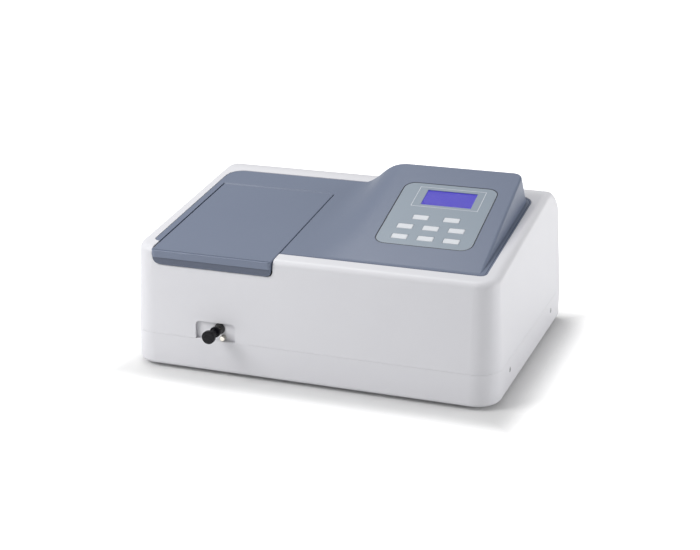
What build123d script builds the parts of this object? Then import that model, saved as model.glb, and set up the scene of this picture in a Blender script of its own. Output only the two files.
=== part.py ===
from build123d import *
import os
from math import acos, atan, cos, pi, radians, sin, sqrt, tan

# Bench spectrophotometer, in millimetres. +X is the operator's right, +Y the back, +Z up.
# The origin is on the table, under the middle of the whole instrument, knob included.
# A place called distance is measured back from the front face at the seam.

# Case
case_width = 470
case_depth = 350
knob_reach = 30
foot_height = 5
lower_height = 41
front_height = 149.6
deck_angle = 7.54
case_draft = 2.865
front_corner_radius = 31
rear_corner_radius = 9
case_wall = 3
crown_start = 275
crown_radius = 73
crown_corner_radius = 20
crown_sweep = 80
bottom_radius = 4
seam_chamfer = 0.6

# Screws that join the two halves of the case
case_screw_distances = (70, 290)
case_screw_height = 25
case_screw_radius = 2
case_screw_head_radius = 3.6
case_screw_head = 2.2
case_screw_proud = 0.4
case_screw_gap = 0.2
case_screw_length = 7
tab_wall = 4
tab_width = 24
tab_drop = 28
tab_rise = 30
tab_gap = 0.5

# Feet
foot_radius = 11
foot_inset_x = 45
foot_front = 42
foot_rear = 308
foot_screw_radius = 2
foot_screw_head_radius = 4
foot_screw_head = 2.4
foot_screw_length = 10
foot_edge_radius = 1.2
foot_recess = 3.2
foot_boss_radius = 6
foot_boss = 9

# Notch in the cover and the upright panel behind it, round the pull rod
notch_left = -146
notch_right = -92.5
notch_height = 23
notch_radius = 6
upright_setback = 5
upright_wall = 3
upright_overlap = 8

# Deck in the cover's opening
deck_recess = 0.6
deck_wall = 3
deck_gap = 0.4
deck_side = 213
deck_front = 26.8
deck_rear = 269.5
deck_front_radius = 8
deck_rear_radius = 22
flange_width = 6
flange_overlap = 4
flange_thickness = 2.5

# Console
console_slope = 0.30
console_start = 37.1
console_right = 206
console_rear = 264
console_draft = 10
console_corner_radius = 18
console_edge_radius = 3
flank_foot = -30
flank_top = 48

# Lid
lid_left = -203
lid_right = -45
lid_front = 0.5
lid_rear = 220
lid_gap = 1.5
lid_wall = 2.5
lid_plate = 3
lid_skirt = 12
lip_height = 9.2
apron_setback = 2.8
apron_wall = 2.8
apron_inset = 0.3
apron_bottom = 136.2
apron_gap = 1.2
apron_left_radius = 12
apron_right_radius = 6
lid_corner_radius = 4
lid_edge_radius = 1.2
hinge_setback = 8
hinge_depth = 4.2
hinge_boss_radius = 4
hinge_boss = 5
pin_radius = 2
running_clearance = 0.05
hinge_rib = 2.5
hinge_rib_depth = 12.7

# Keypad foil, display and keys
foil_centre_x = 119.7
foil_centre_along = 109.5
foil_width = 122.5
foil_length = 142
foil_radius = 14.5
foil_thickness = 0.8
foil_sink = 0.2
foil_gap = 0.5
display_centre_x = 123.7
display_centre_along = 148.6
display_width = 65
display_height = 35
window_margin = 3
window_thickness = 1
display_glass = 1.5
display_frame_margin = 5
display_frame_depth = 6
display_gap = 0.1
display_rim = 0.8
display_ear = 2
key_width = 20
key_height = 10
key_gap = 0.3
key_proud = 0.1
key_flange = 2
key_flange_thickness = 1.2
key_clearance = 0.1
key_stem_radius = 2.5
key_stem = 3.6
key_radius = 0.8
key_bevel = 0.5
key_travel = 0.6
key_places = (
    (100.7, 101.4),
    (140.2, 101.4),
    (87.4, 79.4),
    (120.0, 79.4),
    (152.6, 79.4),
    (87.4, 56.4),
    (120.0, 56.4),
    (152.6, 56.4),
)
board_thickness = 1.6
key_board_width = 116
key_board_length = 66
switch_size = 6
switch_height = 3
switch_plunger = 0.6
switch_plunger_radius = 1.7
ribbon_socket = (32, 6, 5)
small_screw_radius = 1.4
small_screw_head_radius = 2.8
small_screw_head = 1.8
post_radius = 3
post_hole = 8

# Optical bench
bench_top = 40
bench_thickness = 6
bench_left = -226
bench_right = 62
bench_front = 22
bench_rear = 318
wing_right = 166
wing_front = 225
pillar_radius = 7
grommet_radius = 9
grommet_height = 8
bench_screw_radius = 2.5
bench_screw_head_radius = 4.5
bench_screw_head = 3.5
bench_inset = 14
bench_corner_radius = 5
beam_z = 72
beam_distance = 130

# Sample compartment
box_left = -172
box_right = -76
box_front = 58
box_rear = 202
box_wall = 3
box_flange = 2.5
box_seat = 0.3
box_flange_front = 9
box_flange_rear = 214
box_lip = 12
box_floor = 4
box_margin = 7.5
box_corner_radius = 4
beam_hole_radius = 5
seal_width = 5
seal_rib = 6

# Cell changer
cell_count = 4
cell_pitch = 20
cell_slot = 12.6
cell_seat = 57
rod_x = -115
rod_z = 61
rod_radius = 3
rail_radius = 4
rail_spacing = 22
rail_z = 49.5
carriage_x = -124
carriage_width = 34
holder_width = 18
carriage_top = 90
carriage_bottom = 45
carriage_waist = 55.5
carriage_front = 121
carriage_rear = 199
carriage_bevel = 1
lug_depth = 4.5
lug_top = 68
spigot_radius = 2.2
spigot_end = 125.3
window_width = 8
window_bottom = 62
window_top = 84
bush_radius = 5
bush_flange_radius = 7
bush_flange = 1.2
bush_length = 7
box_bush_length = 6.2
knob_length = 23.5
knob_front_radius = 8.3
knob_front_thickness = 5.4
knob_neck_radius = 4.3
knob_rear_radius = 6.8
knob_rear_thickness = 4
knob_edge_radius = 0.7
knob_bottom = -20
guide_screw_x = -110
guide_screw_z = 50
guide_screw_radius = 3.5
guide_screw_head = 6
guide_shank_radius = 2
guide_shank = 9
guide_screw_bevel = 0.6

# Grating drive
grating_x = 24
grating_distance = 215
motor_distance = 245
shaft_hole_radius = 4.5
gear_module = 1
gear_teeth = 48
pinion_teeth = 12
pressure_angle = 20
gear_backlash = 0.15
gear_z = 46
gear_thickness = 5
shaft_radius = 3
shaft_bottom = 36
hub_radius = 5
table_z = 53
table_radius = 19
table_thickness = 3
grating_size = (30, 32, 6)
motor_radius = 14
motor_length = 20
motor_nose_radius = 4.3
motor_ear = 19
motor_shaft_radius = 1.5
motor_shaft_bottom = 28

# Monochromator
mono_left = -60
mono_right = 58
mono_front = 75
mono_rear = 295
mono_top = 108
mono_wall = 4
mono_radius = 3
cover_thickness = 3
cover_screw_inset = 6
cover_boss_radius = 3.5
lamp_distance = 268
port_radius = 6
tube_wall = 2
slit_thickness = 1
slit_plate = (20, 24)
slit_width = 1
slit_length = 10
mirror_x = -38
mirror_radius = 18
mirror_thickness = 8
mirror_curve = 100
mirror_sag = 1.6
collimator_turn = -18.8
camera_mirror_distance = 165
camera_mirror_turn = 8
mount_thickness = 3
mount_width = 24
mount_foot = 6
fold_mirror_x = 38
fold_shift = 5
fold_turn = 170

# Lamp, lens and filter wheel
sheet = 1.5
lamp_left = 100
lamp_right = 160
lamp_front = 239
lamp_rear = 297
lamp_top = 112
lamp_tab = 8
lamp_tab_width = 40
lamp_x = 130
lamp_radius = 5.5
lamp_length = 40
lamp_louvre = (30, 3)
lamp_louvres = 6
louvre_pitch = 8
socket_size = (20, 20, 17)
lens_radius = 9
lens_thickness = 5
lens_curve = 22
lens_mount_x = 87
lens_mount_thickness = 6
lens_mount_half = 22
lens_mount_top = 104
lens_foot = 10
filter_orbit = 19
filter_radius = 6
filter_count = 6
wheel_x = 62
wheel_thickness = 4
wheel_radius = 28
wheel_hub_radius = 6
wheel_hub = 1.5
wheel_shaft = 8
filter_motor_radius = 10

# Detector
detector_left = -222
detector_half = 25
detector_top = 100
detector_gap = 0.3
detector_front_wall = 8
photodiode_radius = 7
photodiode_depth = 6
photodiode_leg = 0.6
preamp_x = -204
preamp_chips = (((-8, 4), 8), ((7, -10), 6))

# Main board and power supply
board_left = 70
board_right = 225
board_front = 30
board_rear = 184
board_z = 20
board_inset = 6
standoff_radius = 3.5
standoff_floor = 2
small_screw_length = 7
board_blocks = (
    (140, 100, 28, 28, 3),
    (100, 60, 14, 18, 3),
    (185, 70, 20, 8, 4),
    (106, 172, 40, 8, 9),
    (190, 172, 30, 8, 9),
    (84, 120, 10, 40, 11),
)
board_cans = ((175, 130, 5, 12), (190, 130, 5, 12), (205, 130, 5, 12), (160, 50, 4, 8))
supply_left = 174
supply_right = 226
supply_front = 192
supply_rear = 318
supply_z = 18
supply_height = 40
supply_post_x = (180, 220)
supply_post_distances = (198, 298)
supply_blocks = (
    (200, 300, 46, 24, 12), (200, 252, 34, 30, 26), (186, 215, 3, 40, 30), (214, 215, 14, 30, 16)
)
supply_cans = ((199, 206, 6, 25), (199, 222, 6, 25), (200, 277, 7, 30))

# Rear panel and what it carries
panel_margin = 6
panel_screw_x = (-31, 92, 215)
panel_screw_up = (7, 89)
panel_screw_bite = 2.4
louvre_x = 72
rear_louvre = (50, 3)
rear_louvres = 8
grille_radii = (24, 17, 10)
grille_slot = 4
grille_web = 4
inlet_x = 190
inlet_up = 24
inlet_flange = (31, 24, 2)
inlet_body = (27, 20, 20)
inlet_cavity = (24, 16, 15)
inlet_corner = 4
inlet_pin = (2, 4)
inlet_pin_length = 12
inlet_pins = ((-7, -2), (0, 2), (7, -2))
rocker_up = 58
bezel_flange = (15, 21, 2)
bezel_body = (13, 19, 15)
bezel_hole = (10, 16, 9)
rocker_pivot = -1.5
rocker_pin_radius = 1
rocker_pin = 0.8
rocker_width = 9.6
rocker_half = 7
rocker_tilt = 10
rocker_rise = 5
rocker_dip = 3.2
rocker_sink = 1
rocker_belly = 2.5
port_x = 30
port_up = 24
port_flange = (31, 12.5, 1)
port_body = (20, 11, 8)
port_nose = 3
port_shell = (17, 8.5, 80)
port_corner = 2
port_stud_x = 12.5
port_stud_radius = 2.4
fan_x = 130
fan_up = 44
fan_size = 60
fan_depth = 15
fan_corner = 4
fan_bore = 28
fan_hub_radius = 13
fan_back = 3
fan_strut = 3
fan_screw_pitch = 50
fan_pin_radius = 1.5
fan_blade_gap = 0.8
blade_count = 7
blade_chord = 10
blade_thickness = 1.2
blade_angle = 40
blade_reach = 27

# Worked out once, used everywhere
front_y = (knob_reach - case_depth) / 2
rear_y = front_y + case_depth
middle_y = (front_y + rear_y) / 2
seam_z = foot_height + lower_height
floor_z = foot_height + case_wall
deck_slope = tan(radians(deck_angle))
deck_along = 1 / cos(radians(deck_angle))
rim_front_z = foot_height + front_height
draft_slope = tan(radians(case_draft))
console_angle = atan(console_slope)
notch_top = seam_z + notch_height


def at(distance):
    """Y of a place this far behind the front face."""
    return front_y + distance


def rim_z(distance):
    """Height of the white rim's plane this far behind the front face."""
    return rim_front_z + deck_slope * distance


def front_plane(distance):
    """Upright plane across the instrument; extrude by a negative amount to go back."""
    return Plane.XZ.offset(-at(distance))


def span(low, high):
    """Centre and length of a stretch."""
    return (low + high) / 2, high - low


rim_plane = Plane(
    origin=(0, front_y, rim_front_z),
    x_dir=(1, 0, 0),
    z_dir=(0, -sin(radians(deck_angle)), cos(radians(deck_angle))),
)
deck_plane = rim_plane.offset(-deck_recess)
console_plane = Plane(
    origin=(0, at(console_start), rim_z(console_start)),
    x_dir=(1, 0, 0),
    z_dir=(0, -sin(console_angle), cos(console_angle)),
)
rear_plane = Plane(
    origin=(0, rear_y, seam_z),
    x_dir=(-1, 0, 0),
    z_dir=(0, cos(radians(case_draft)), sin(radians(case_draft))),
)


def box_between(x_range, y_range, z_range, mode=Mode.ADD):
    """A block between two limits on each axis."""
    x, width = span(*x_range)
    y, depth = span(*y_range)
    z, height = span(*z_range)
    with Locations((x, y, z)):
        Box(width, depth, height, mode=mode)


def label_and_export(part, name):
    """Name a finished piece and write it."""
    part.label = name
    export_step(part, f"parts/{name}.step")


os.makedirs("parts", exist_ok=True)


# Case: a pan and a cover that meet at the seam


def crest_edges(block):
    """Edges round the cover's top and up its rear corners, without the smooth seams."""
    picked = []
    for edge in block.edges():
        centre = edge.center()
        along = edge.tangent_at(0.5)
        on_seam = centre.Z < seam_z + 1
        across = abs(centre.X) < 1 and centre.Y > middle_y
        front_seam = centre.Y < middle_y and abs(along.Z) > 0.9
        if not (on_seam or across or front_seam):
            picked.append(edge)
    return picked


def cover_block(inset):
    """The cover's outer form, or its hollow when inset by the wall."""
    angle = radians(deck_angle)
    radius = crown_radius - inset
    crown = (at(crown_start), rim_z(crown_start) - inset * deck_along)
    centre = (crown[0] + radius * sin(angle), crown[1] - radius * cos(angle))

    def on_crown(sweep):
        return centre[0] + radius * sin(radians(sweep)), centre[1] + radius * cos(radians(sweep))

    start = (at(-case_wall), rim_z(-case_wall) - inset * deck_along)
    drop = on_crown(crown_sweep)
    with BuildPart(mode=Mode.PRIVATE) as block:
        with BuildSketch(Plane.XY.offset(seam_z)) as plan:
            with Locations((0, middle_y)):
                Rectangle(case_width - 2 * inset, case_depth - 2 * inset)
            fillet(plan.vertices().group_by(Axis.Y)[0], front_corner_radius - inset)
        extrude(amount=case_depth, taper=case_draft)
        with BuildSketch(Plane.YZ):
            with BuildLine():
                Polyline((drop[0], seam_z), (start[0], seam_z), start, crown)
                ThreePointArc(crown, on_crown(crown_sweep / 2), drop)
                Line(drop, (drop[0], seam_z))
            make_face()
        extrude(amount=case_width, both=True, mode=Mode.INTERSECT)
        back = block.faces().sort_by(Axis.Y)[-1]
        fillet(back.edges().sort_by(Axis.Z)[-1], crown_corner_radius - inset)
        fillet(crest_edges(block.part), rear_corner_radius - inset)
    return block.part


def deck_outline(grow):
    """Plan of the cover's opening, in the rim's plane."""
    middle, length = span(deck_front, deck_rear)
    with BuildSketch(mode=Mode.PRIVATE) as outline:
        with Locations((0, middle)):
            Rectangle(2 * (deck_side + grow), length + 2 * grow)
        fillet(outline.vertices().group_by(Axis.Y)[0], deck_front_radius + grow)
        fillet(outline.vertices().group_by(Axis.Y)[-1], deck_rear_radius + grow)
    return outline.sketch


def apron_outline(gap):
    """Front view of the lid's apron, or of the cover's notch for it when grown by a gap."""
    side = gap if gap else -apron_inset
    x, width = span(lid_left - side, lid_right + side)
    bottom = apron_bottom - (apron_gap if gap else 0)
    top = rim_z(deck_front) + (case_wall if gap else -lid_plate)
    z, height = span(bottom, top)
    with BuildSketch(mode=Mode.PRIVATE) as outline:
        with Locations((x, z)):
            Rectangle(width, height)
        low = outline.vertices().group_by(Axis.Y)[0].sort_by(Axis.X)
        fillet(low[0], apron_left_radius + gap)
        fillet(outline.vertices().group_by(Axis.Y)[0].sort_by(Axis.X)[-1], apron_right_radius + gap)
    return outline.sketch


screw_line = [at(distance) for distance in case_screw_distances]
screw_z = foot_height + case_screw_height
side_inner = case_width / 2 - case_wall

rear_window_x = span(-28, 212)
rear_window_up = span(10, 86)
rear_window_radius = 4
rear_wall_depth = case_wall * cos(radians(case_draft))
panel_face = rear_plane.offset(-rear_wall_depth)
panel_spots = [(-x, up) for x in panel_screw_x for up in panel_screw_up]

with BuildPart() as upper_case:
    add(cover_block(0))
    add(cover_block(case_wall), mode=Mode.SUBTRACT)
    with BuildSketch(rim_plane.offset(-deck_wall * 3)):
        add(deck_outline(0))
    extrude(amount=deck_wall * 6, mode=Mode.SUBTRACT)
    with BuildSketch(front_plane(-case_wall)):
        add(apron_outline(lid_gap))
    extrude(amount=-deck_front - 2 * case_wall, mode=Mode.SUBTRACT)
    with BuildSketch(front_plane(-case_wall)) as rod_notch:
        x, width = span(notch_left, notch_right)
        z, height = span(seam_z, notch_top)
        with Locations((x, z)):
            Rectangle(width, height)
        fillet(rod_notch.vertices().group_by(Axis.Y)[-1], notch_radius)
    extrude(amount=-4 * case_wall, mode=Mode.SUBTRACT)
    with BuildSketch(rear_plane.offset(-2 * case_wall)):
        with Locations((-rear_window_x[0], rear_window_up[0])):
            RectangleRounded(rear_window_x[1], rear_window_up[1], rear_window_radius)
    extrude(amount=3 * case_wall, mode=Mode.SUBTRACT)
    with BuildSketch(rear_plane.offset(-2 * case_wall)):
        with Locations(*panel_spots):
            Circle(small_screw_radius)
    extrude(amount=2 * case_wall - rear_wall_depth + panel_screw_bite, mode=Mode.SUBTRACT)
    for side in (-1, 1):
        face = side_inner - tab_gap
        for y in screw_line:
            box_between(
                (side * (face - tab_wall / 2) - tab_wall / 2, side * (face - tab_wall / 2) + tab_wall / 2),
                (y - tab_width / 2, y + tab_width / 2),
                (seam_z - tab_drop, seam_z + tab_rise),
            )
    for y in screw_line:
        with Locations(Location((0, y, screw_z), (0, 90, 0))):
            Cylinder(case_screw_radius, case_width, mode=Mode.SUBTRACT)


def pan_block(inset):
    """The pan's outer form, or its hollow when inset by the wall."""
    with BuildPart(mode=Mode.PRIVATE) as block:
        with BuildSketch(Plane.XY.offset(foot_height + inset)) as plan:
            with Locations((0, middle_y)):
                Rectangle(case_width - 2 * inset, case_depth - 2 * inset)
            fillet(plan.vertices().group_by(Axis.Y)[0], front_corner_radius - inset)
            fillet(plan.vertices().group_by(Axis.Y)[-1], rear_corner_radius - inset)
        extrude(amount=lower_height - inset)
        low = block.edges().group_by(Axis.Z)[0]
        fillet(low, bottom_radius - inset if inset < bottom_radius else bottom_radius)
        if inset == 0:
            chamfer(block.edges().group_by(Axis.Z)[-1], seam_chamfer)
    return block.part


foot_x = case_width / 2 - foot_inset_x
foot_spots = [(side * foot_x, at(distance)) for side in (-1, 1) for distance in (foot_front, foot_rear)]
bench_spots = [
    (x, at(distance))
    for x in (bench_left + bench_inset, bench_right - bench_inset)
    for distance in (bench_front + bench_inset, bench_rear - bench_inset)
] + [(wing_right - bench_inset, at(bench_rear - bench_inset))]
pillar_top = bench_top - bench_thickness - grommet_height
vent_x = 200
vent_distance = 140
vent_count = 9
vent_pitch = 8
vent_slot = (40, 3)

with BuildPart() as lower_case:
    add(pan_block(0))
    add(pan_block(case_wall), mode=Mode.SUBTRACT)
    upright = (notch_left - upright_overlap, notch_right + upright_overlap)
    back_of_upright = at(upright_setback + upright_wall)
    box_between(upright, (at(case_wall / 2), back_of_upright), (floor_z - 1, seam_z))
    box_between(upright, (at(upright_setback), back_of_upright), (seam_z - 1, notch_top + upright_overlap))
    with Locations(*[(x, y, floor_z - 1) for x, y in foot_spots]):
        Cylinder(foot_boss_radius, foot_boss + 1, align=(Align.CENTER, Align.CENTER, Align.MIN))
    with Locations(*[(x, y, floor_z - 1) for x, y in bench_spots]):
        Cylinder(pillar_radius, pillar_top - floor_z + 1, align=(Align.CENTER, Align.CENTER, Align.MIN))
    with Locations(*[(x, y, foot_height) for x, y in foot_spots]):
        Cylinder(foot_screw_radius, 2 * foot_boss, mode=Mode.SUBTRACT)
    with Locations(*[(x, y, pillar_top) for x, y in bench_spots]):
        Cylinder(bench_screw_radius, 2 * foot_boss, mode=Mode.SUBTRACT)
    for y in screw_line:
        for side in (-1, 1):
            with Locations(Location((side * case_width / 2, y, screw_z), (0, side * 90, 0))):
                CounterBoreHole(
                    case_screw_radius,
                    case_screw_head_radius,
                    case_screw_head - case_screw_proud,
                    4 * case_wall,
                )
    with BuildSketch(Plane.XY.offset(foot_height - 1)):
        with Locations((vent_x, at(vent_distance))):
            with GridLocations(1, vent_pitch, 1, vent_count):
                SlotOverall(*vent_slot)
    extrude(amount=case_wall + 2, mode=Mode.SUBTRACT)
    with Locations(Location((rod_x, at(upright_setback), rod_z), (90, 0, 0))):
        Cylinder(bush_radius, 4 * upright_wall, mode=Mode.SUBTRACT)
    with Locations(Location((guide_screw_x, at(upright_setback), guide_screw_z), (90, 0, 0))):
        Cylinder(guide_shank_radius, 4 * upright_wall, mode=Mode.SUBTRACT)

label_and_export(upper_case.part, "upper_case")
label_and_export(lower_case.part, "lower_case")


# Deck with its raised console


def deck_top_z(distance):
    """Height of the deck's surface."""
    return rim_z(distance) - deck_recess * deck_along


def console_z(distance):
    """Height of the console's sloping face."""
    return rim_z(console_start) + console_slope * (distance - console_start)


flank_start_height = 0.1
flank_start = console_start - (deck_recess * deck_along - flank_start_height) / (console_slope - deck_slope)


def console_block(inset):
    """The console above the deck, or its hollow when inset by the wall."""
    sink = inset * 1.15
    skirt = deck_wall + 1 if inset else deck_wall / 2

    def section(distance):
        low = deck_top_z(distance) - sink
        high = console_z(distance) - sink
        half = ((flank_foot + flank_top) / 2, (low + high) / 2)
        floor = low - 2 * deck_wall
        with BuildSketch(front_plane(distance), mode=Mode.PRIVATE) as outline:
            with BuildLine():
                Spline(
                    (flank_foot, low), half, (flank_top, high), tangents=((1, 0), (1, 0))
                )
                Polyline(
                    (flank_top, high),
                    (console_right + flange_width, high),
                    (console_right + flange_width, floor),
                    (flank_foot, floor),
                    (flank_foot, low),
                )
            make_face()
        return outline.sketch

    with BuildPart(mode=Mode.PRIVATE) as block:
        with BuildSketch(deck_plane) as plan:
            x, width = span(2 * flank_foot, console_right - inset)
            along, length = span(0, console_rear * deck_along - inset)
            with Locations((x, along)):
                Rectangle(width, length)
            corner = plan.vertices().group_by(Axis.Y)[-1].sort_by(Axis.X)[-1]
            fillet(corner, console_corner_radius - inset)
        extrude(amount=case_depth / 4, taper=console_draft)
        extrude(plan.sketch, amount=-skirt)
        loft([section(flank_start), section(console_rear + 2 * case_wall)], ruled=True, mode=Mode.INTERSECT)
    return block.part


with BuildPart() as console_form:
    add(console_block(0))
    rounded = [
        edge
        for edge in console_form.edges()
        if edge.center().Z > deck_top_z(edge.center().Y - front_y) + 3 * console_edge_radius
        and abs(edge.tangent_at(0.5).Z) < 0.9
        and (edge.center().X > flank_top + 5 or edge.center().Y > middle_y + case_depth / 5)
        and edge.center().Y > at(2 * deck_front)
    ]
    fillet(rounded, console_edge_radius)
hinge_x = (lid_left - lid_gap, lid_right + lid_gap)
hinge_along = lid_rear - hinge_setback


def on_deck(x, along, depth=0):
    """A point in the deck's own frame, as a point of the whole instrument."""
    return deck_plane.from_local_coords((x, along, -depth))


hinge_point = on_deck(0, hinge_along, hinge_depth)
wall_under = deck_wall * 1.15 * cos(console_angle)
key_flange_top = -(wall_under + key_clearance)
switch_top = key_flange_top - key_flange_thickness - key_stem - key_travel - key_clearance
key_board_top = switch_top - switch_height
foil_bottom = -(foil_sink + foil_thickness)
window_bottom_depth = foil_bottom - window_thickness
key_board_x = foil_centre_x
key_board_along = (key_places[0][1] + key_places[-1][1]) / 2
board_post_x = key_board_width / 2 - post_radius - 1
board_post_along = key_board_length / 2 - post_radius - 1


def foil_outline(grow):
    """Outline of the keypad foil, in the console's plane."""
    with BuildSketch(mode=Mode.PRIVATE) as outline:
        with Locations((foil_centre_x, foil_centre_along)):
            RectangleRounded(foil_width + 2 * grow, foil_length + 2 * grow, foil_radius + grow)
    return outline.sketch


def key_windows(grow):
    """The eight key outlines, in the console's plane."""
    with BuildSketch(mode=Mode.PRIVATE) as outline:
        with Locations(*key_places):
            Rectangle(key_width + 2 * grow, key_height + 2 * grow)
    return outline.sketch


def display_outline(grow):
    """The display's outline, in the console's plane."""
    with BuildSketch(mode=Mode.PRIVATE) as outline:
        with Locations((display_centre_x, display_centre_along)):
            Rectangle(display_width + 2 * grow, display_height + 2 * grow)
    return outline.sketch


with BuildPart() as top_deck:
    with BuildSketch(deck_plane):
        add(deck_outline(-deck_gap))
    extrude(amount=-deck_wall)
    with BuildSketch(rim_plane.offset(-case_wall)):
        add(deck_outline(flange_width))
        add(deck_outline(-deck_gap - flange_overlap), mode=Mode.SUBTRACT)
    extrude(amount=-flange_thickness)
    add(console_form.part)
    add(console_block(deck_wall), mode=Mode.SUBTRACT)
    with BuildSketch(deck_plane.offset(deck_wall)):
        x, width = span(*hinge_x)
        along, length = span(-deck_front, lid_rear + lid_gap)
        with Locations((x, along)):
            Rectangle(width, length)
    extrude(amount=-4 * deck_wall, mode=Mode.SUBTRACT)
    with BuildSketch(deck_plane):
        along, length = span(deck_front + deck_gap, lid_rear + lid_gap)
        with Locations((x, along + hinge_rib / 2)):
            Rectangle(width + 2 * hinge_rib, length + hinge_rib)
        with Locations((x, along - hinge_rib)):
            Rectangle(width, length + 2 * hinge_rib, mode=Mode.SUBTRACT)
    extrude(amount=-hinge_rib_depth)
    lip = [
        edge
        for edge in top_deck.edges().filter_by(Axis.X)
        if abs(deck_plane.to_local_coords(edge.center()).Z) < 0.01
        and abs(deck_plane.to_local_coords(edge.center()).Y - lid_rear - lid_gap) < 0.01
    ]
    chamfer(lip, hinge_rib * 0.8)
    for x in hinge_x:
        with Locations(Location((x, hinge_point.Y, hinge_point.Z), (0, 90, 0))):
            Cylinder(pin_radius, 3 * hinge_rib, mode=Mode.SUBTRACT)
    with BuildSketch(console_plane.offset(1)):
        add(foil_outline(foil_gap))
    extrude(amount=foil_bottom - 1, mode=Mode.SUBTRACT)
    with BuildSketch(console_plane.offset(foil_bottom)):
        add(display_outline(window_margin + key_gap))
    extrude(amount=-window_thickness, mode=Mode.SUBTRACT)
    with BuildSketch(console_plane):
        add(display_outline(1))
        add(key_windows(key_gap))
    extrude(amount=-3 * deck_wall, mode=Mode.SUBTRACT)
    with BuildSketch(console_plane.offset(-wall_under + 0.5)):
        with Locations((key_board_x, key_board_along)):
            with GridLocations(2 * board_post_x, 2 * board_post_along, 2, 2):
                Circle(post_radius)
    extrude(amount=key_board_top + wall_under - 0.5)
    with BuildSketch(console_plane.offset(key_board_top - 1)):
        with Locations((key_board_x, key_board_along)):
            with GridLocations(2 * board_post_x, 2 * board_post_along, 2, 2):
                Circle(small_screw_radius)
    extrude(amount=post_hole, mode=Mode.SUBTRACT)

label_and_export(top_deck.part, "top_deck")


# Lid of the sample compartment


def lid_block(side_inset, front_inset, rear_inset, depth, start):
    """A block under the lid's top, from one depth to another."""
    with BuildPart(mode=Mode.PRIVATE) as block:
        with BuildSketch(deck_plane.offset(-start)) as plan:
            x, width = span(lid_left + side_inset, lid_right - side_inset)
            along, length = span(lid_front + front_inset, lid_rear - rear_inset)
            with Locations((x, along)):
                Rectangle(width, length)
            front = plan.vertices().group_by(Axis.Y)[0]
            fillet(front, max(lid_corner_radius - side_inset, 1))
        extrude(amount=-depth)
    return block.part


seal_outline = (box_left - box_wall, box_right + box_wall)
deck_normal = Axis(deck_plane.origin, deck_plane.z_dir)

with BuildPart() as compartment_lid:
    add(lid_block(0, 0, 0, lip_height, 0))
    fillet(compartment_lid.faces().sort_by(deck_normal)[-1].edges(), lid_edge_radius)
    add(lid_block(0, apron_setback, 0, lid_skirt - lid_edge_radius, lid_edge_radius))
    with BuildSketch(front_plane(apron_setback)):
        add(apron_outline(0))
    extrude(amount=-apron_wall)
    add(
        lid_block(lid_wall, apron_setback + apron_wall, -1, lid_skirt + lid_plate, lid_plate),
        mode=Mode.SUBTRACT,
    )
    with BuildSketch(deck_plane.offset(-lid_plate)):
        x, width = span(lid_left - 1, lid_right + 1)
        with Locations((x, lid_rear)):
            Rectangle(width, 2 * hinge_setback)
    extrude(amount=-lid_skirt, mode=Mode.SUBTRACT)
    for x in (lid_left + hinge_boss / 2, lid_right - hinge_boss / 2):
        with Locations(Location((x, hinge_point.Y, hinge_point.Z), (0, 90, 0))):
            Cylinder(hinge_boss_radius, hinge_boss)
    for x in (lid_left, lid_right):
        with Locations(Location((x, hinge_point.Y, hinge_point.Z), (0, 90, 0))):
            Cylinder(pin_radius + running_clearance, 4 * hinge_boss, mode=Mode.SUBTRACT)
    with BuildSketch(deck_plane.offset(-lid_plate + 0.5)):
        x, width = span(*seal_outline)
        along, length = span((box_front - box_wall) * deck_along, (box_rear + box_wall) * deck_along)
        with Locations((x, along)):
            Rectangle(width + lid_wall, length + lid_wall)
            Rectangle(width - lid_wall, length - lid_wall, mode=Mode.SUBTRACT)
    extrude(amount=-seal_rib - 0.5)

with BuildPart() as lid_seal:
    with BuildSketch(deck_plane.offset(-lid_plate - seal_rib)):
        with Locations((x, along)):
            RectangleRounded(width + seal_width, length + seal_width, seal_width)
            Rectangle(width - seal_width, length - seal_width, mode=Mode.SUBTRACT)
    extrude(amount=-(lid_skirt + 1 - lid_plate - seal_rib - box_seat))

with BuildPart() as hinge_pins:
    for x, side in ((hinge_x[0], 1), (hinge_x[1], -1)):
        middle = x + side * (lid_gap + hinge_boss - hinge_rib) / 2
        with Locations(Location((middle, hinge_point.Y, hinge_point.Z), (0, 90, 0))):
            Cylinder(pin_radius, lid_gap + hinge_boss + hinge_rib)

label_and_export(compartment_lid.part, "compartment_lid")
label_and_export(lid_seal.part, "lid_seal")
label_and_export(hinge_pins.part, "hinge_pins")


# Keys, foil and display


console_normal = Axis(console_plane.origin, console_plane.z_dir)

for number, place in enumerate(key_places, start=1):
    with BuildPart() as key:
        with BuildSketch(console_plane.offset(key_proud)):
            with Locations(place):
                RectangleRounded(key_width, key_height, key_radius)
        extrude(amount=key_flange_top - key_proud)
        chamfer(key.faces().sort_by(console_normal)[-1].edges(), key_bevel)
        with BuildSketch(console_plane.offset(key_flange_top)):
            with Locations(place):
                RectangleRounded(key_width + 2 * key_flange, key_height + 2 * key_flange, key_radius)
        extrude(amount=-key_flange_thickness)
        with BuildSketch(console_plane.offset(key_flange_top - key_flange_thickness)):
            with Locations(place):
                Circle(key_stem_radius)
        extrude(amount=-key_stem)
    label_and_export(key.part, f"key_{number}")

with BuildPart() as keypad_overlay:
    with BuildSketch(console_plane.offset(-foil_sink)):
        add(foil_outline(0))
        add(key_windows(key_gap), mode=Mode.SUBTRACT)
        add(display_outline(0), mode=Mode.SUBTRACT)
    extrude(amount=-foil_thickness)

with BuildPart() as lcd_window:
    with BuildSketch(console_plane.offset(foil_bottom)):
        add(display_outline(window_margin))
    extrude(amount=-window_thickness)

panel_top = window_bottom_depth - display_gap
panel_bottom = panel_top - display_glass
frame_top = -(wall_under + display_gap)

with BuildPart() as lcd_panel:
    with BuildSketch(console_plane.offset(panel_top)):
        add(display_outline(display_rim))
    extrude(amount=-display_glass)

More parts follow.
